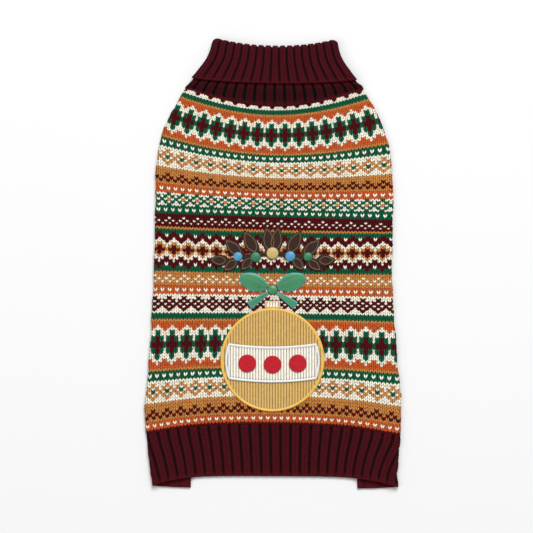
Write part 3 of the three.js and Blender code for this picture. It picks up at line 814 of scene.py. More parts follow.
def rib_band(context, name, surface, limit, top, bottom, first, slide=(0, 0)):
    """A band of ribs between two courses. `first` is where a hollow lies, from the centre line, and `slide`
    how far the ribs near the side folds lean in towards the bottom."""
    knit = context.scene.sweater_knit
    random = np.random.default_rng(11)
    pitch = knit.rib_pitch / MM
    start = float(limit(np.array(float(top))))
    leftmost = math.ceil((-start - first) / pitch * 12 + COLUMN_CLEAR)
    rightmost = math.floor((start - first) / pitch * 12 - COLUMN_CLEAR)
    steps = np.arange(leftmost, rightmost + 1)
    share = np.concatenate([[-1], (steps * pitch / 12 + first) / start, [1]])
    steps = np.concatenate([[steps[0] - 1], steps, [steps[-1] + 1]])
    line = np.linspace(top, bottom, 2 * round(bottom - top) + 1)
    taper = np.clip(np.minimum(line - top, bottom - line), 0, 1)[:, None]
    course = line[:, None] + RIB_FALL[steps % 12][None, :] * taper * knit.slant
    course = course + random.normal(0, RIB_UNEVEN, course.shape) * taper
    course = as_laid(course, share[None, :] * limit(course), surface)
    arc = share[None, :] * limit(course)
    lean = (np.abs(arc) / LEAN_FULL) ** 2 * (1 - smooth((np.abs(arc) - LEAN_ENDS) / LEAN_FADES))
    lean = lean * smooth((line - top) / (bottom - top))[:, None]
    arc = arc + np.where(arc < 0, slide[0], -slide[1]) * lean
    height = rib(RIB_HEIGHT, len(line), steps) + random.normal(0, RIB_UNEVEN, course.shape)
    depth = rib(RIB_SHADE, len(line), steps) + random.normal(0, UNEVEN_SHADE, course.shape)
    _, up = surface(course, arc, 0 * course)
    lip_width = LIP_COURSES[0] + LIP_COURSES[1] * (1 - up)
    lip = np.exp(-(((bottom - line[:, None]) / lip_width) ** 2))
    relief = knit.rib_relief / MM
    out = HALF_CLOTH + rib_rise(relief, height, lip, HEM_UNDER, up) + HEM_CURL * lip * (1 + up) / 2
    outer, _ = surface(course, arc, out)
    back = rib(RIB_HEIGHT, len(line), steps + 6)
    inner, _ = surface(course, arc, -HALF_CLOTH + relief * INSIDE_RELIEF * np.clip(RIB_CREST - back, 0, 1))
    points, faces = wall(outer, inner, grid_faces(*course.shape))
    # Painted shade in the hollows between the ribs, lighter near the free edge, and fainter on the inside.
    outside = np.clip(depth * (1 - 0.8 * lip), 0, 1)
    inside = rib(RIB_SHADE, len(line), steps + 6) * 0.8 * (1 - 0.7 * lip)
    hollow = np.concatenate([outside.reshape(-1), inside.reshape(-1)])
    return add_mesh(name, points, faces, [dyed(context, "acrylic yarn", "burgundy")], 0, hollow)


def collar_surface(path, share, out):
    """Points of the collar `path` mm along its cloth from the neck seam, at a share of the way round from
    the back's middle, and `out` mm outside the cloth's middle, and how far the outside faces up there."""
    row, ahead, behind = (curve(COLLAR, COLLAR_COLUMNS, path + step) for step in (0, 0.5, -0.5))
    rise, step = ahead["backY"] - behind["backY"], ahead["lift"] - behind["lift"]
    size = np.hypot(rise, step)
    half = curve(NECK, NECK_COLUMNS, row["sideY"])["half"]
    flat, height = half - NECK_HALF, NECK_HALF + row["lift"]
    run = np.abs(share) * (4 * flat + 2 * math.pi * height)
    turn = np.clip((run - flat) / height, 0, math.pi)
    under = np.maximum(run - flat - height * math.pi, 0)
    height = height + out * rise / size
    x = np.sign(share) * (np.minimum(run, flat) + height * np.sin(turn) - under)
    aside = np.abs(x) / (flat + height)
    y = row["backY"] + (row["sideY"] - row["backY"]) * aside ** row["power"]
    y = y - out * step / size - row["tilt"] * x
    short_of_end = COLLAR_END - path
    y = y + LAP_CORNER * smooth((aside - 0.93) / 0.07) ** 2 * smooth(1 - short_of_end / 5)
    x = x - np.sign(share) * LAP_ROUNDING * aside**8 * np.clip(1 - short_of_end / 3, 0, 1) ** 2
    x = x + COLLAR_SHIFT + COLLAR_LEAN * np.maximum(y - LEAN_FROM, 0)
    return np.stack([x, y, row["centreZ"] + height * np.cos(turn)], -1), np.cos(turn)


COLLAR_LINES = 77  # rows of points along the collar's cloth
COLLAR_FIRST = 2.0  # where along its cloth the ribs begin, next to the neck seam
SEAM_REACH = 0.6  # how far it reaches over the neck seam
SEAM_FOLLOWS = 2.6  # how far the seam comes down for each course that the back lies lower
COLLAR_UNEVEN = 0.1
COLLAR_UNDER = 0.5  # how far the ribs sink in on the underside, as a share of their relief
LIP_WIDTH = 1.9  # of the cast-off edge
LIP_CURL = 0.55
CAST_OFF = 0.22  # height of the cast-off edge's small loops
ROLL_PLUMPNESS = 0.35  # how much deeper the ribs are over the roll
ROLL_WIDTH = 7
HIDDEN_RELIEF = 0.12  # of the ribs where the cloth lies on other cloth, as a share of their relief
NECK_HIDES = 24  # from where along its cloth the lap hides its outer face
LAP_SHOWS = 54  # from where its inner face shows, past the roll
SHOW_FADE = 6
NECK_SHADOW = 0.3  # painted shade: how much darker the neck rib's hollows are made where it lies gathered under the lap's edge
NECK_SHADOW_ENDS = 18  # from where along its cloth this fades
NECK_SHADOW_FADE = 8
SEAM_FLAT = 0.15  # of the ribs' relief that is left at the neck seam
SEAM_EASE = 9  # how far from the seam they stand up in full


def build_collar(context):
    """The roll neck: one tube of rib, folded over outside along its upper part."""
    knit = context.scene.sweater_knit
    random = np.random.default_rng(13)
    steps = np.arange(12 * knit.collar_ribs)
    share = (steps + 0.5) / len(steps)
    share = np.where(share > 0.5, share - 1, share)
    neck_x = collar_surface(0 * share + COLLAR_FIRST, share, 0 * share)[0][:, 0]
    lie = curve(LIE, LIE_COLUMNS, 0 * share)
    drop = lerp(lie["left"], lie["right"], (np.clip(neck_x / LIE_SIDE, -1, 1) + 1) / 2) * SEAM_FOLLOWS
    along = np.linspace(0, 1, COLLAR_LINES)[:, None]
    path = lerp((-SEAM_REACH - drop)[None, :], COLLAR_END, along)
    line = lerp(COLLAR_FIRST, COLLAR_END, along)
    past_seam = line - COLLAR_FIRST
    taper = np.clip(np.minimum(past_seam, COLLAR_END - line) / COURSE, 0, 1)
    path = path + RIB_FALL[steps % 12][None, :] * taper * knit.slant * COURSE
    path = path + random.normal(0, COLLAR_UNEVEN, path.shape) * taper
    share = np.repeat(share[None, :], len(line), 0)
    _, up = collar_surface(path, share, 0 * path)
    lip = np.exp(-(((COLLAR_END - line) / LIP_WIDTH) ** 2))
    cast_off = CAST_OFF * np.where(steps % 3 == 1, 1, -0.6)[None, :] * lip
    relief = knit.rib_relief / MM
    plump = 1 + ROLL_PLUMPNESS * np.exp(-(((line - COLLAR_FOLD) / ROLL_WIDTH) ** 2))
    # Painted shade on the neck rib under the lap's edge.
    neck_shadow = NECK_SHADOW * (1 - smooth((line - NECK_SHADOW_ENDS) / NECK_SHADOW_FADE))
    seamed = SEAM_FLAT + (1 - SEAM_FLAT) * smooth(past_seam / SEAM_EASE)
    neck_shown = 1 - smooth((line - NECK_HIDES) / SHOW_FADE)
    lap_shown = smooth((line - LAP_SHOWS) / SHOW_FADE)
    sides = []
    for side, shift, shown in ((1, 0, neck_shown), (-1, 6, lap_shown)):
        height = rib(RIB_HEIGHT, len(line), steps + shift) * seamed
        height = height + random.normal(0, RIB_UNEVEN, path.shape)
        # Painted shade in the hollows between the ribs, lighter at the cast-off edge and where the cloth lies
        # hidden.
        depth = rib(RIB_SHADE, len(line), steps + shift) * seamed
        depth = depth + random.normal(0, UNEVEN_SHADE, path.shape) + neck_shadow * (side > 0)
        amount = HIDDEN_RELIEF + (1 - HIDDEN_RELIEF) * shown
        out = HALF_CLOTH + rib_rise(relief * amount * plump, height, lip, COLLAR_UNDER, up)
        out = out + (LIP_CURL * lip + cast_off) * (1 + up) / 2 * (side < 0)
        points, _ = collar_surface(path, share, side * out)
        hollow = np.clip(depth * (1 - 0.75 * lip) * np.minimum(amount + 0.3, 1), 0, 1)
        sides.append((points, hollow.reshape(-1)))
    (outer, outer_hollow), (inner, inner_hollow) = sides
    points, faces = wall(outer, inner, grid_faces(*path.shape, ring=True, flip=True))
    hollow = np.concatenate([outer_hollow, inner_hollow])
    return add_mesh("collar_knit", points, faces, [dyed(context, "acrylic yarn", "burgundy")], 0, hollow)


CUFF_RELIEF = 0.8  # as a share of the other ribs' relief
CUFF_LIP = 2  # width of its soft free edge


def build_cuff(context, side, name):
    """A flat rib ring sewn round one leg hole, in the plane of the underside."""
    knit = context.scene.sweater_knit
    centre = leg_centre(side)
    steps = np.arange(12 * knit.cuff_ribs)
    turn = 2 * math.pi * steps / len(steps)
    drop = np.linspace(0, CUFF_WIDTH, 9)[:, None]
    lip = np.exp(-(((CUFF_WIDTH - drop) / CUFF_LIP) ** 2))
    height = rib(RIB_HEIGHT, len(drop), steps) * (1 - 0.5 * lip)
    x = centre[0] + (LEG_HALF_WIDTH - drop) * np.cos(turn)
    y = centre[1] + (LEG_HALF_LENGTH - drop) * np.sin(turn)
    z = np.clip(RIB_CREST - height, 0, 1) * CUFF_RELIEF * knit.rib_relief / MM
    under, over = np.stack([x, y, z], -1), np.stack([x, y, 0 * x + CLOTH], -1)
    points, faces = wall(under, over, grid_faces(*x.shape, ring=True))
    # Painted shade in the hollows between the ribs, lighter near the free edge.
    depth = (rib(RIB_SHADE, len(drop), steps) * (1 - 0.6 * lip)).reshape(-1)
    hollow = np.concatenate([depth, 0 * depth])
    return add_mesh(name, points, faces, [dyed(context, "acrylic yarn", "burgundy")], 0, hollow)


# ---------------------------------------------------------------- the sewn-on pieces


def on_back(plan, out):
    """Points `out` mm over the back's outer face, without its stitches, above plan points."""
    x, y = plan[..., 0], plan[..., 1]
    z = back_height(x, y, SEAM) + creases(CREASES, x, y) + HALF_CLOTH
    return np.stack([x, y, z + out], -1)


def turned(plan, place, turn):
    """Plan points turned about the origin, then moved to a place."""
    c, s = math.cos(turn), math.sin(turn)
    x, y = plan[..., 0], plan[..., 1]
    return np.stack([place[0] + c * x - s * y, place[1] + s * x + c * y], -1)


def strip_plan(x, lower, upper, across):
    """A grid of plan points with a row at each x, from its lower to its upper edge."""
    y = lerp(np.asarray(lower)[:, None], np.asarray(upper)[:, None], across[None, :])
    return np.stack([np.repeat(x[:, None], len(across), 1), y], -1)


def leaf_plan(length, half, ends, pitch, across):
    """A strip along +X from the origin, as wide at each share of its length as `ends` says."""
    t = np.linspace(0, 1, max(2, round(length / pitch * 2)) + 1)
    wide = half * ends(t)
    return strip_plan(t * length, -wide, wide, across)


def outline(plan):
    """The closed outline of a grid of plan points."""
    return np.concatenate([plan[:-1, 0], plan[-1, :-1], plan[:0:-1, -1], plan[0, :0:-1]])


def edge_distance(plan):
    """Distance of each point of a plan grid from the grid's outline."""
    starts = outline(plan)
    span = np.roll(starts, -1, 0) - starts
    reach = np.maximum(np.sum(span**2, -1), TINY)
    offset = plan.reshape(-1, 1, 2) - starts
    t = np.clip(np.sum(offset * span, -1) / reach, 0, 1)
    gap = np.hypot(*np.moveaxis(offset - t[..., None] * span, -1, 0))
    return np.min(gap, axis=1).reshape(plan.shape[:2])


def sheet_part(plan, layer, relief, rounding=0.0):
    """A closed sheet over a plan grid, its top raised by `relief` and rounded off towards its outline."""
    bottom, top = PATCH_LIFT + layer * PATCH_STEP, (layer + 1) * PATCH_STEP
    rise = np.full(plan.shape[:2], top - bottom)
    if rounding:
        inward = 1 - np.clip(edge_distance(plan) / rounding, 0, 1)
        rise = rise * (0.2 + 0.8 * np.sqrt(1 - inward**2))
    return wall(on_back(plan, bottom + rise + relief), on_back(plan, bottom), grid_faces(*plan.shape[:2]))


def cord_part(path, width, height, base, pitch, closed=True):
    """A half-round bead of satin stitches along a plan path: every other row of points is a groove, darkened
    by painted shade.
    """
    route = np.concatenate([path, path[:1]]) if closed else path
    run = np.concatenate([[0], np.cumsum(np.hypot(*np.diff(route, axis=0).T))])
    count = 2 * max(2, round(run[-1] / pitch))
    at = np.linspace(0, run[-1], count + 1)[: count if closed else count + 1]
    middle = np.stack([np.interp(at, run, route[:, k]) for k in (0, 1)], -1)
    if closed:
        step = np.roll(middle, -1, 0) - np.roll(middle, 1, 0)
    else:
        step = np.gradient(middle, axis=0)
    step = step / np.maximum(np.hypot(*step.T), TINY)[:, None]
    aside = np.stack([step[:, 1], -step[:, 0]], -1)
    turn = np.linspace(0, math.pi, 7)
    groove = np.arange(len(middle)) % 2
    spread = np.cos(turn)[None, :, None] * width / 2 * (1 - 0.04 * groove)[:, None, None]
    plan = middle[:, None, :] + aside[:, None, :] * spread
    if closed:
        ends = 1
    else:
        ends = np.sqrt(np.clip(np.minimum(at, run[-1] - at) / width * 2 + 0.1, 0, 1))[:, None]
        plan = middle[:, None, :] + (plan - middle[:, None, :]) * ends[..., None]
    rise = base + np.sin(turn)[None, :] * height * (1 - 0.12 * groove)[:, None] * ends
    points = on_back(plan, rise)
    rows, columns = points.shape[:2]
    faces = grid_faces(rows, columns, ring=True, closed=closed)
    if not closed:
        faces += [list(range(columns)), [(rows - 1) * columns + c for c in reversed(range(columns))]]
    return points.reshape(-1, 3), faces, np.repeat(0.9 * groove, columns)


def join_parts(name, materials, parts):
    """One piece from closed parts: each its points, faces, points' painted shade and material's number."""
    points, faces, painted_shades, numbers, first = [], [], [], [], 0
    for part_points, part_faces, hollow, number in parts:
        points.append(part_points)
        faces += [[p + first for p in face] for face in part_faces]
        painted_shades.append(np.broadcast_to(hollow, len(part_points)))
        numbers += [number] * len(part_faces)
        first += len(part_points)
    return add_mesh(name, np.concatenate(points), faces, materials, numbers, np.concatenate(painted_shades))


def inset_path(plan, by):
    """The outline of a plan grid, moved in by `by` and rounded at its corners."""
    path = outline(plan)
    for _ in range(3):
        path = (np.roll(path, 1, 0) + 2 * path + np.roll(path, -1, 0)) / 4
    step = np.roll(path, -1, 0) - np.roll(path, 1, 0)
    step = step / np.maximum(np.hypot(*step.T), TINY)[:, None]
    return path + np.stack([-step[:, 1], step[:, 0]], -1) * by


WALE = np.array([-1, -0.25, 0, 0.03, 0, -0.25])  # height over six columns of points, from groove to groove
# painted shade over the same six columns, darkest in the grooves
WALE_SHADE = np.array([1, 0.35, 0, 0, 0, 0.35])


def corduroy_part(knit, x_from, x_to, lower, upper, rows, layer):
    """Corduroy cut to a lower and an upper edge, both given at each x, with its wales along Y."""
    random = np.random.default_rng(17)
    pitch = knit.wale_pitch / MM / 6
    steps = np.arange(math.ceil(x_from / pitch + 0.3), math.floor(x_to / pitch - 0.3) + 1)
    x = np.concatenate([[x_from], steps * pitch, [x_to]])
    phase = np.concatenate([[steps[0] - 1], steps, [steps[-1] + 1]]) % 6
    plan = strip_plan(x, lower(x), upper(x), np.linspace(0, 1, rows + 1))
    plan[1:-1, :, 0] += random.normal(0, 0.06, plan[1:-1, :, 0].shape)
    relief = knit.wale_depth / MM * WALE[phase][:, None] + random.normal(0, 0.03, plan.shape[:2])
    points, faces = sheet_part(plan, layer, relief)
    depth = np.repeat(WALE_SHADE[phase], rows + 1)
    return plan, (points, faces, np.concatenate([depth, 0 * depth]))


def band_sag(x):
    return BAND_BOW * (1 - (x / BAUBLE_RADIUS) ** 2)


def circle(x, y, radius, count):
    turn = np.linspace(0, 2 * math.pi, count, endpoint=False)
    return np.stack([x + radius * np.cos(turn), y + radius * np.sin(turn)], -1)


def corduroy_piece(context, name, tint, half, lower, upper, rows, layer, edges):
    """One piece of corduroy with its stitched edges: each edge's path, or how far its path lies inside the
    piece's outline, and then its width, height, base and thread."""
    knit = context.scene.sweater_knit
    plan, sheet = corduroy_part(knit, -half, half, lower, upper, rows, layer)
    materials, parts = [dyed(context, "cotton corduroy", tint)], [(*sheet, 0)]
    for number, (path, width, height, base, thread) in enumerate(edges, 1):
        if isinstance(path, float):
            path = inset_path(plan, path)
        parts.append((*cord_part(path, width, height, base, knit.thread_pitch / MM), number))
        materials.append(dyed(context, "rayon thread", thread))
    return join_parts(name, materials, parts)


def build_bauble(context):
    """The tan corduroy bauble with its gold edge."""
    rise = lambda x: np.sqrt(BAUBLE_RADIUS**2 - x**2)
    lower, upper = lambda x: BAUBLE_Y - rise(x), lambda x: BAUBLE_Y + rise(x)
    cut = {"half": BAUBLE_RADIUS - 0.3, "lower": lower, "upper": upper, "rows": 40, "layer": 0}
    edges = [(circle(0, BAUBLE_Y, BAUBLE_RADIUS - 1, 360), 3.4, 1.45, PATCH_LIFT, "gold")]
    return corduroy_piece(context, "bauble_corduroy", "corduroy", **cut, edges=edges)


def build_band(context):
    """The cream corduroy band across the bauble, with a white edge and a thin grey line inside it."""
    reach = BAUBLE_RADIUS - BAND_INSET
    rise = lambda x: np.minimum(np.sqrt(np.maximum(reach**2 - x**2, 0)), BAND_HALF)
    lower, upper = lambda x: BAUBLE_Y - band_sag(x) - rise(x), lambda x: BAUBLE_Y - band_sag(x) + rise(x)
    cut = {"half": reach - 0.2, "lower": lower, "upper": upper, "rows": 18, "layer": 1}
    base = 2 * PATCH_STEP - 0.4
    edges = [(0.9, 2.6, 0.95, base, "white"), (3.0, 0.8, 0.5, base, "grey")]
    return corduroy_piece(context, "bauble_band_corduroy", "pale_corduroy", **cut, edges=edges)


def build_cap(context):
    """The bauble's cap: a small block of cream corduroy with a gold edge."""
    lower, upper = lambda x: 0 * x + CAP_BOTTOM, lambda x: 0 * x + CAP_TOP
    cut = {"half": CAP_HALF, "lower": lower, "upper": upper, "rows": 6, "layer": 0}
    edges = [(0.8, 1.8, 1.5, PATCH_LIFT, "gold")]
    return corduroy_piece(context, "bauble_cap_corduroy", "pale_corduroy", **cut, edges=edges)


DISC_STEPS = [(0.15, 0.16), (0.35, 0.14), (0.8, 0.1), (2.2, 0.12), (2.8, 0.05)]  # width and rise, inwards


def build_disc(context, x, name):
    """A red felt disc on the band: its top is raised in soft steps and its edge rounded."""
    place = on_back(np.array([x, BAUBLE_Y - band_sag(x)]), 2 * PATCH_STEP + 0.1) * MM
    depth = (PATCH_STEP - 0.5) * MM
    bpy.ops.object.select_all(action="DESELECT")
    radius = DISC_RADIUS * MM
    bpy.ops.mesh.primitive_cylinder_add(vertices=72, radius=radius, depth=depth, location=(0, 0, 0))
    disc = bpy.context.object
    disc.name = name
    disc.data.name = name
    bpy.ops.object.mode_set(mode="EDIT")
    bpy.ops.mesh.select_mode(type="FACE")
    bpy.ops.mesh.select_all(action="DESELECT")
    mesh = bmesh.from_edit_mesh(disc.data)
    for face in mesh.faces:
        face.select = face.normal.z > 0.9
    bmesh.update_edit_mesh(disc.data)
    for width, rise in DISC_STEPS:
        bpy.ops.mesh.inset(thickness=width * MM, depth=rise * MM)
    bpy.ops.mesh.poke()
    bpy.ops.object.mode_set(mode="OBJECT")
    bpy.ops.object.shade_smooth_by_angle(angle=math.radians(50))
    disc.location = (place[0], place[1], place[2] + depth / 2)
    bpy.ops.object.transform_apply(location=True, rotation=True, scale=True)
    # Painted shade: the disc's outermost edge is darkened.
    rim = np.array([math.hypot(v.co.x - place[0], v.co.y - place[1]) for v in disc.data.vertices]) / radius
    point_shade = np.clip((rim - 0.97) * 20, 0, 0.6).astype(np.float32)
    disc.data.attributes.new("hollow", "FLOAT", "POINT").data.foreach_set("value", point_shade)
    disc.data.materials.append(dyed(context, "wool felt", "red_felt"))
    return disc


EVEN = np.linspace(0, 1, 13)  # shares of a strip's width, closer together at its edges
FINE = (1 - np.cos(np.pi * EVEN)) / 2 * 0.5 + EVEN * 0.5


def satin_part(plan, layer, dome, folds):
    """A sheet of satin whose rows of points are threads, domed across, with soft folds along it, and painted
    shade in its grooves and folds.
    """
    rows, columns = plan.shape[:2]
    v = np.linspace(-1, 1, columns)[None, :]
    t = np.linspace(0, 1, rows)[:, None]
    groove = (np.arange(rows) % 2)[:, None]
    relief = dome * (1 - v**2) * (0.4 + 0.6 * np.sin(np.pi * np.clip(t * 0.9 + 0.08, 0, 1))) - 0.07 * groove
    shade = 0.35 * groove + 0 * v
    for aside, width, depth in folds:
        fold = np.exp(-(((v - aside) / width) ** 2)) * (1 - t) ** 0.7
        relief = relief - depth * fold
        shade = shade + 0.7 * fold
    points, faces = sheet_part(plan, layer, relief, rounding=0.5)
    shade = np.clip(shade, 0, 1).reshape(-1)
    return points, faces, np.concatenate([shade, 0 * shade])


# The bow's tails and loops: their length, their half width, their turn from +X in radians, how their width
# changes, the height of their dome, and their folds' places across, half widths and depths.
BOW = {
    "bow_tail": (24, 4.5, -0.6, tail_ends, 0.3, [(0.2, 0.2, 0.3)]),
    "bow_loop": (31, 9.5, 0.38, loop_ends, 0.9, [(0.35, 0.16, 0.5), (-0.3, 0.14, 0.45), (0.02, 0.1, 0.3)]),
}


def build_bow_piece(context, name, side, length, half, turn, ends, dome, folds):
    """One loop or tail of the bow, in teal satin with an aqua stitched edge."""
    knit = context.scene.sweater_knit
    angle = turn if side > 0 else math.pi - turn
    start = KNOT_RADIUS + 0.6
    place = (start * math.cos(angle), KNOT_Y + start * math.sin(angle))
    plan = turned(leaf_plan(length, half, ends, knit.thread_pitch / MM, FINE), place, angle)
    satin = satin_part(plan, 0, dome, folds)
    bead = {"width": 1.5, "height": 1.25, "base": PATCH_LIFT, "pitch": knit.thread_pitch / MM}
    edge = cord_part(inset_path(plan, by=0.6), **bead)
    materials = [dyed(context, "satin ribbon", "teal"), dyed(context, "rayon thread", "aqua")]
    return join_parts(name, materials, [(*satin, 0), (*edge, 1)])


def round_plan(radius, pitch):
    """A disc's plan grid, with rows of threads across it."""
    x = -np.cos(np.linspace(0, np.pi, max(8, 2 * round(1.1 * radius / pitch)) + 1)) * radius * 0.995
    rise = np.sqrt(radius**2 - x**2)
    return strip_plan(x, -rise, rise, FINE)


def build_button(context, name, place, radius, turn, layer, material, dome):
    """A small domed disc of satin stitch, such as a berry or the bow's knot."""
    plan = round_plan(radius, context.scene.sweater_knit.thread_pitch / MM)
    share = np.hypot(plan[..., 0], plan[..., 1]) / radius
    groove = (np.arange(len(plan)) % 2)[:, None] + 0 * share
    relief = dome * (1 - share**2) - 0.08 * groove
    points, faces = sheet_part(turned(plan, place, turn), layer, relief, rounding=0.8)
    # Painted shade in the grooves between the threads and towards the rim.
    shade = np.clip(0.5 * groove + 0.5 * smooth((share - 0.8) / 0.2), 0, 1).reshape(-1)
    return join_parts(name, [material], [(points, faces, np.concatenate([shade, 0 * shade]), 0)])


LINE_FOOT = 4.5  # from a leaf's foot to the line stitched inside its edge
LINE_TIP = 3.0
LINE_INSET = 2.1


def build_bough(context):
    """The brown felt bough: an arched stem with its leaves, each with a stitched line inside its edge."""
    knit = context.scene.sweater_knit
    random = np.random.default_rng(19)
    stitches = {"width": 0.8, "height": 0.4, "base": PATCH_STEP - 0.1, "pitch": knit.thread_pitch / MM}
    parts = []

    def add_felt(plan):
        relief = random.normal(0, 0.05, plan.shape[:2])
        points, faces = sheet_part(plan, 0, relief, rounding=0.9)
        # Painted shade along the felt's edge.
        rim = np.clip(1 - edge_distance(plan) / 0.8, 0, 1).reshape(-1) * 0.5
        parts.append((points, faces, np.concatenate([rim, 0 * rim]), 0))

    x = np.linspace(-BOUGH_HALF - 1, BOUGH_HALF + 1, 94)
    add_felt(strip_plan(x, stem_y(x) - STEM_HALF, stem_y(x) + STEM_HALF, np.linspace(0, 1, 7)))
    for side in (-1, 1):
        for at, turn, length, half in LEAVES:
            foot = side * at * BOUGH_HALF
            angle = math.radians(turn if side > 0 else 180 - turn)
            plan = leaf_plan(length, half, leaf_ends, pitch=2.0, across=FINE)
            add_felt(turned(plan, (foot, stem_y(foot)), angle))
            inside = (length - LINE_FOOT - LINE_TIP, half - LINE_INSET, leaf_ends)
            line = outline(leaf_plan(*inside, pitch=1.0, across=FINE) + (LINE_FOOT, 0))
            line = turned(line, (foot, stem_y(foot)), angle)
            parts.append((*cord_part(line, **stitches), 1))
    materials = [dyed(context, "wool felt", "brown_felt"), dyed(context, "rayon thread", "umber")]
    return join_parts("bough_felt", materials, parts)


# ---------------------------------------------------------------- the stage


def area_light(name, place, size, power):
    """A round soft light that shines on the origin."""
    bpy.ops.object.light_add(type="AREA", location=place)
    light = bpy.context.object
    light.name = name
    light.data.shape = "DISK"
    light.data.size = size
    light.data.energy = power
    light.rotation_mode = "QUATERNION"
    light.rotation_quaternion = (-light.location).to_track_quat("-Z", "Y")


FLOOR_WHITE = 0.586
VIEW_HEIGHT = 2.2  # of the camera over the board, in metres
VIEW_WIDTH = 0.5703  # of what it sees at the height of the back, in metres
CLOTH_TOP = 0.006
SENSOR = 36


def build_stage():
    """A matt white board under the sweater, soft light from above and all round, and a camera overhead."""
    bpy.ops.mesh.primitive_plane_add(size=8, location=(0, 0, -0.0005))
    floor = bpy.context.object
    floor.name = "floor"
    bpy.ops.object.transform_apply(location=True)
    board = bpy.data.materials.new("matt white board")
    board.use_nodes = True
    tree = board.node_tree
    tree.nodes.clear()
    matt = {"Base Color": (*[FLOOR_WHITE] * 3, 1), "Roughness": 0.9, "Specular IOR Level": 0.1}
    shader = add_node(tree, "ShaderNodeBsdfPrincipled", matt)
    add_node(tree, "ShaderNodeOutputMaterial", {"Surface": shader.outputs["BSDF"]})
    floor.data.materials.append(board)
    area_light("key light", (0.7, 2.7, 4), size=2.9, power=316)
    area_light("fill light", (-2.5, -0.7, 4), size=3.6, power=65)
    world = bpy.data.worlds.new("soft light all round")
    world.use_nodes = True
    background = world.node_tree.nodes["Background"]
    background.inputs["Color"].default_value = (1, 1, 1, 1)
    background.inputs["Strength"].default_value = 0.44
    bpy.context.scene.world = world
    bpy.ops.object.camera_add(location=(-0.0064, -0.0032, VIEW_HEIGHT))
    camera = bpy.context.object
    camera.name = "camera over the sweater"
    camera.data.sensor_width = SENSOR
    camera.data.lens = SENSOR * (VIEW_HEIGHT - CLOTH_TOP) / VIEW_WIDTH
    camera.data.clip_end = 20
    bpy.context.scene.camera = camera
    bpy.context.scene.view_settings.view_transform = "Standard"


# ---------------------------------------------------------------- the add-on


def stand_for(piece, node):
    """The piece rides on the sweater's one body, and stands in for a CAD node, which is hidden."""
    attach(piece, "root")
    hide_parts(node)
    return piece


class SWEATER_OT_back(Operator):
    """Knit the back panel, which wraps round both sides to the underside seams"""

    bl_idname = "sweater.back"
    bl_label = "Back panel"

    def execute(self, context):
        courses = (NECK_COURSE, HEM_COURSE + 1)
        panel = stockinette(context, "back_panel_knit", back_surface, back_limit, *courses, AXIS, drawn_in)
        stand_for(panel, "back_panel")
        return {"FINISHED"}


class SWEATER_OT_belly(Operator):
    """Knit the narrow belly panel, which lies on the surface between the underside seams"""

    bl_idname = "sweater.belly"
    bl_label = "Belly panel"

    def execute(self, context):
        courses = (0, BELLY_RIB_COURSE)
        panel = stockinette(context, "belly_panel_knit", belly_surface, belly_limit, *courses, -AXIS)
        stand_for(panel, "belly_panel")
        return {"FINISHED"}


class SWEATER_OT_ribs(Operator):
    """Knit the rib bands at the hem of the back and at the belly's end"""

    bl_idname = "sweater.ribs"
    bl_label = "Rib bands"

    def execute(self, context):
        courses = (HEM_COURSE + 0.9, EDGE_COURSE)
        hem = rib_band(context, "hem_rib_knit", back_surface, back_limit, *courses, HEM_HOLLOW, RIB_SLIDE)
        stand_for(hem, "hem_rib")
        courses = (BELLY_RIB_COURSE, BELLY_END_COURSE)
        end = rib_band(context, "belly_rib_knit", belly_surface, belly_limit, *courses, 0)
        stand_for(end, "belly_rib")
        return {"FINISHED"}


class SWEATER_OT_collar(Operator):
    """Knit the roll neck, one tube of rib folded over outside"""

    bl_idname = "sweater.collar"
    bl_label = "Roll neck"

    def execute(self, context):
        collar = stand_for(build_collar(context), "collar")
        return {"FINISHED"}


class SWEATER_OT_cuffs(Operator):
    """Knit the flat rib rings round the two leg holes in the underside"""

    bl_idname = "sweater.cuffs"
    bl_label = "Leg cuffs"

    def execute(self, context):
        for side, word in ((-1, "left"), (1, "right")):
            node = f"leg_cuff_{word}"
            cuff = stand_for(build_cuff(context, side, f"{node}_knit"), node)
        return {"FINISHED"}


class SWEATER_OT_bauble(Operator):
    """Cut the corduroy bauble with its cap and its band, and the band's three felt discs"""

    bl_idname = "sweater.bauble"
    bl_label = "Bauble"

    def execute(self, context):
        bauble = stand_for(build_bauble(context), "bauble")
        band = stand_for(build_band(context), "bauble_band")
        cap = stand_for(build_cap(context), "bauble_cap")
        for step, word in ((-1, "left"), (0, "middle"), (1, "right")):
            disc = build_disc(context, step * DISC_SPACING, f"disc_{word}_felt")
            stand_for(disc, f"felt_disc_{word}")
        return {"FINISHED"}


class SWEATER_OT_bow(Operator):
    """Sew the satin bow: a knot, two loops and two tails"""

    bl_idname = "sweater.bow"
    bl_label = "Bow"

    def execute(self, context):
        for side, word in ((-1, "left"), (1, "right")):
            for part, cut in BOW.items():
                piece = build_bow_piece(context, f"{part}_{word}_satin", side, *cut)
                stand_for(piece, f"{part}_{word}")
        satin = dyed(context, "satin ribbon", "teal")
        shape = {"place": (0, KNOT_Y), "radius": KNOT_RADIUS, "turn": 0.0, "layer": 0, "dome": 1.3}
        knot = build_button(context, "bow_knot_satin", material=satin, **shape)
        stand_for(knot, "bow_knot")
        return {"FINISHED"}


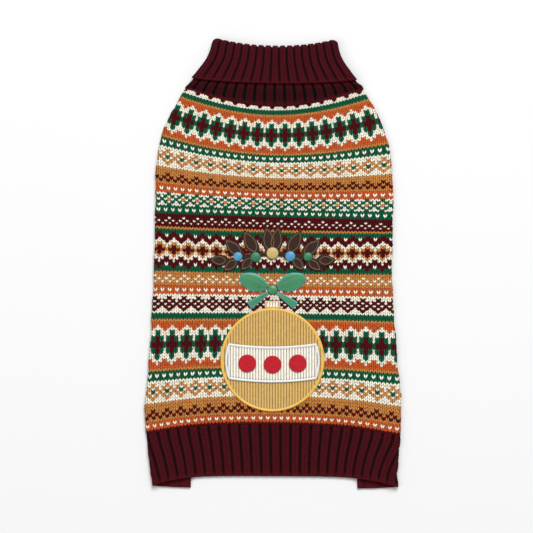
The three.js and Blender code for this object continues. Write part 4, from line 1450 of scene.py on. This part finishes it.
class SWEATER_OT_bough(Operator):
    """Cut the felt bough and embroider its five berries"""

    bl_idname = "sweater.bough"
    bl_label = "Bough and berries"

    def execute(self, context):
        bough = stand_for(build_bough(context), "felt_bough")
        tints = {"blue": "blue", "green": "leaf", "gold": "sand"}
        for name, (x, rise, radius, turn) in BERRIES.items():
            word = name.split("_")[1]
            thread = dyed(context, "rayon thread", tints[word])
            place = (x, float(stem_y(x)) + rise)
            shape = {"place": place, "radius": radius, "turn": turn, "layer": 1, "dome": 0.9}
            berry = build_button(context, f"{name}_stitches", material=thread, **shape)
            stand_for(berry, name)
        return {"FINISHED"}


class SWEATER_OT_stage(Operator):
    """Set out the white board, the lights and the camera"""

    bl_idname = "sweater.stage"
    bl_label = "Stage"

    def execute(self, context):
        build_stage()
        return {"FINISHED"}


OPERATORS = (
    SWEATER_OT_back,
    SWEATER_OT_belly,
    SWEATER_OT_ribs,
    SWEATER_OT_collar,
    SWEATER_OT_cuffs,
    SWEATER_OT_bauble,
    SWEATER_OT_bow,
    SWEATER_OT_bough,
    SWEATER_OT_stage,
)


class SWEATER_PT_panel(Panel):
    """The sweater's settings, and a button for each group of pieces"""

    bl_label = "Knitted dog sweater"
    bl_space_type = "VIEW_3D"
    bl_region_type = "UI"
    bl_category = "Sweater"

    def draw(self, context):
        for settings in (context.scene.sweater_knit, context.scene.sweater_colours):
            box = self.layout.box()
            for name in settings.__annotations__:
                box.prop(settings, name)
        for operator in OPERATORS:
            self.layout.operator(operator.bl_idname)


CLASSES = (SweaterKnit, SweaterColours, *OPERATORS, SWEATER_PT_panel)


def register():
    for kind in CLASSES:
        bpy.utils.register_class(kind)
    bpy.types.Scene.sweater_knit = PointerProperty(type=SweaterKnit)
    bpy.types.Scene.sweater_colours = PointerProperty(type=SweaterColours)


def unregister():
    del bpy.types.Scene.sweater_colours
    del bpy.types.Scene.sweater_knit
    for kind in reversed(CLASSES):
        bpy.utils.unregister_class(kind)


def main():
    register()
    bpy.ops.object.select_all(action="DESELECT")
    bpy.ops.sweater.back()
    bpy.ops.sweater.belly()
    bpy.ops.sweater.ribs()
    bpy.ops.sweater.collar()
    bpy.ops.sweater.cuffs()
    bpy.ops.sweater.bauble()
    bpy.ops.sweater.bow()
    bpy.ops.sweater.bough()
    bpy.ops.sweater.stage()


if __name__ == "__main__":
    main()
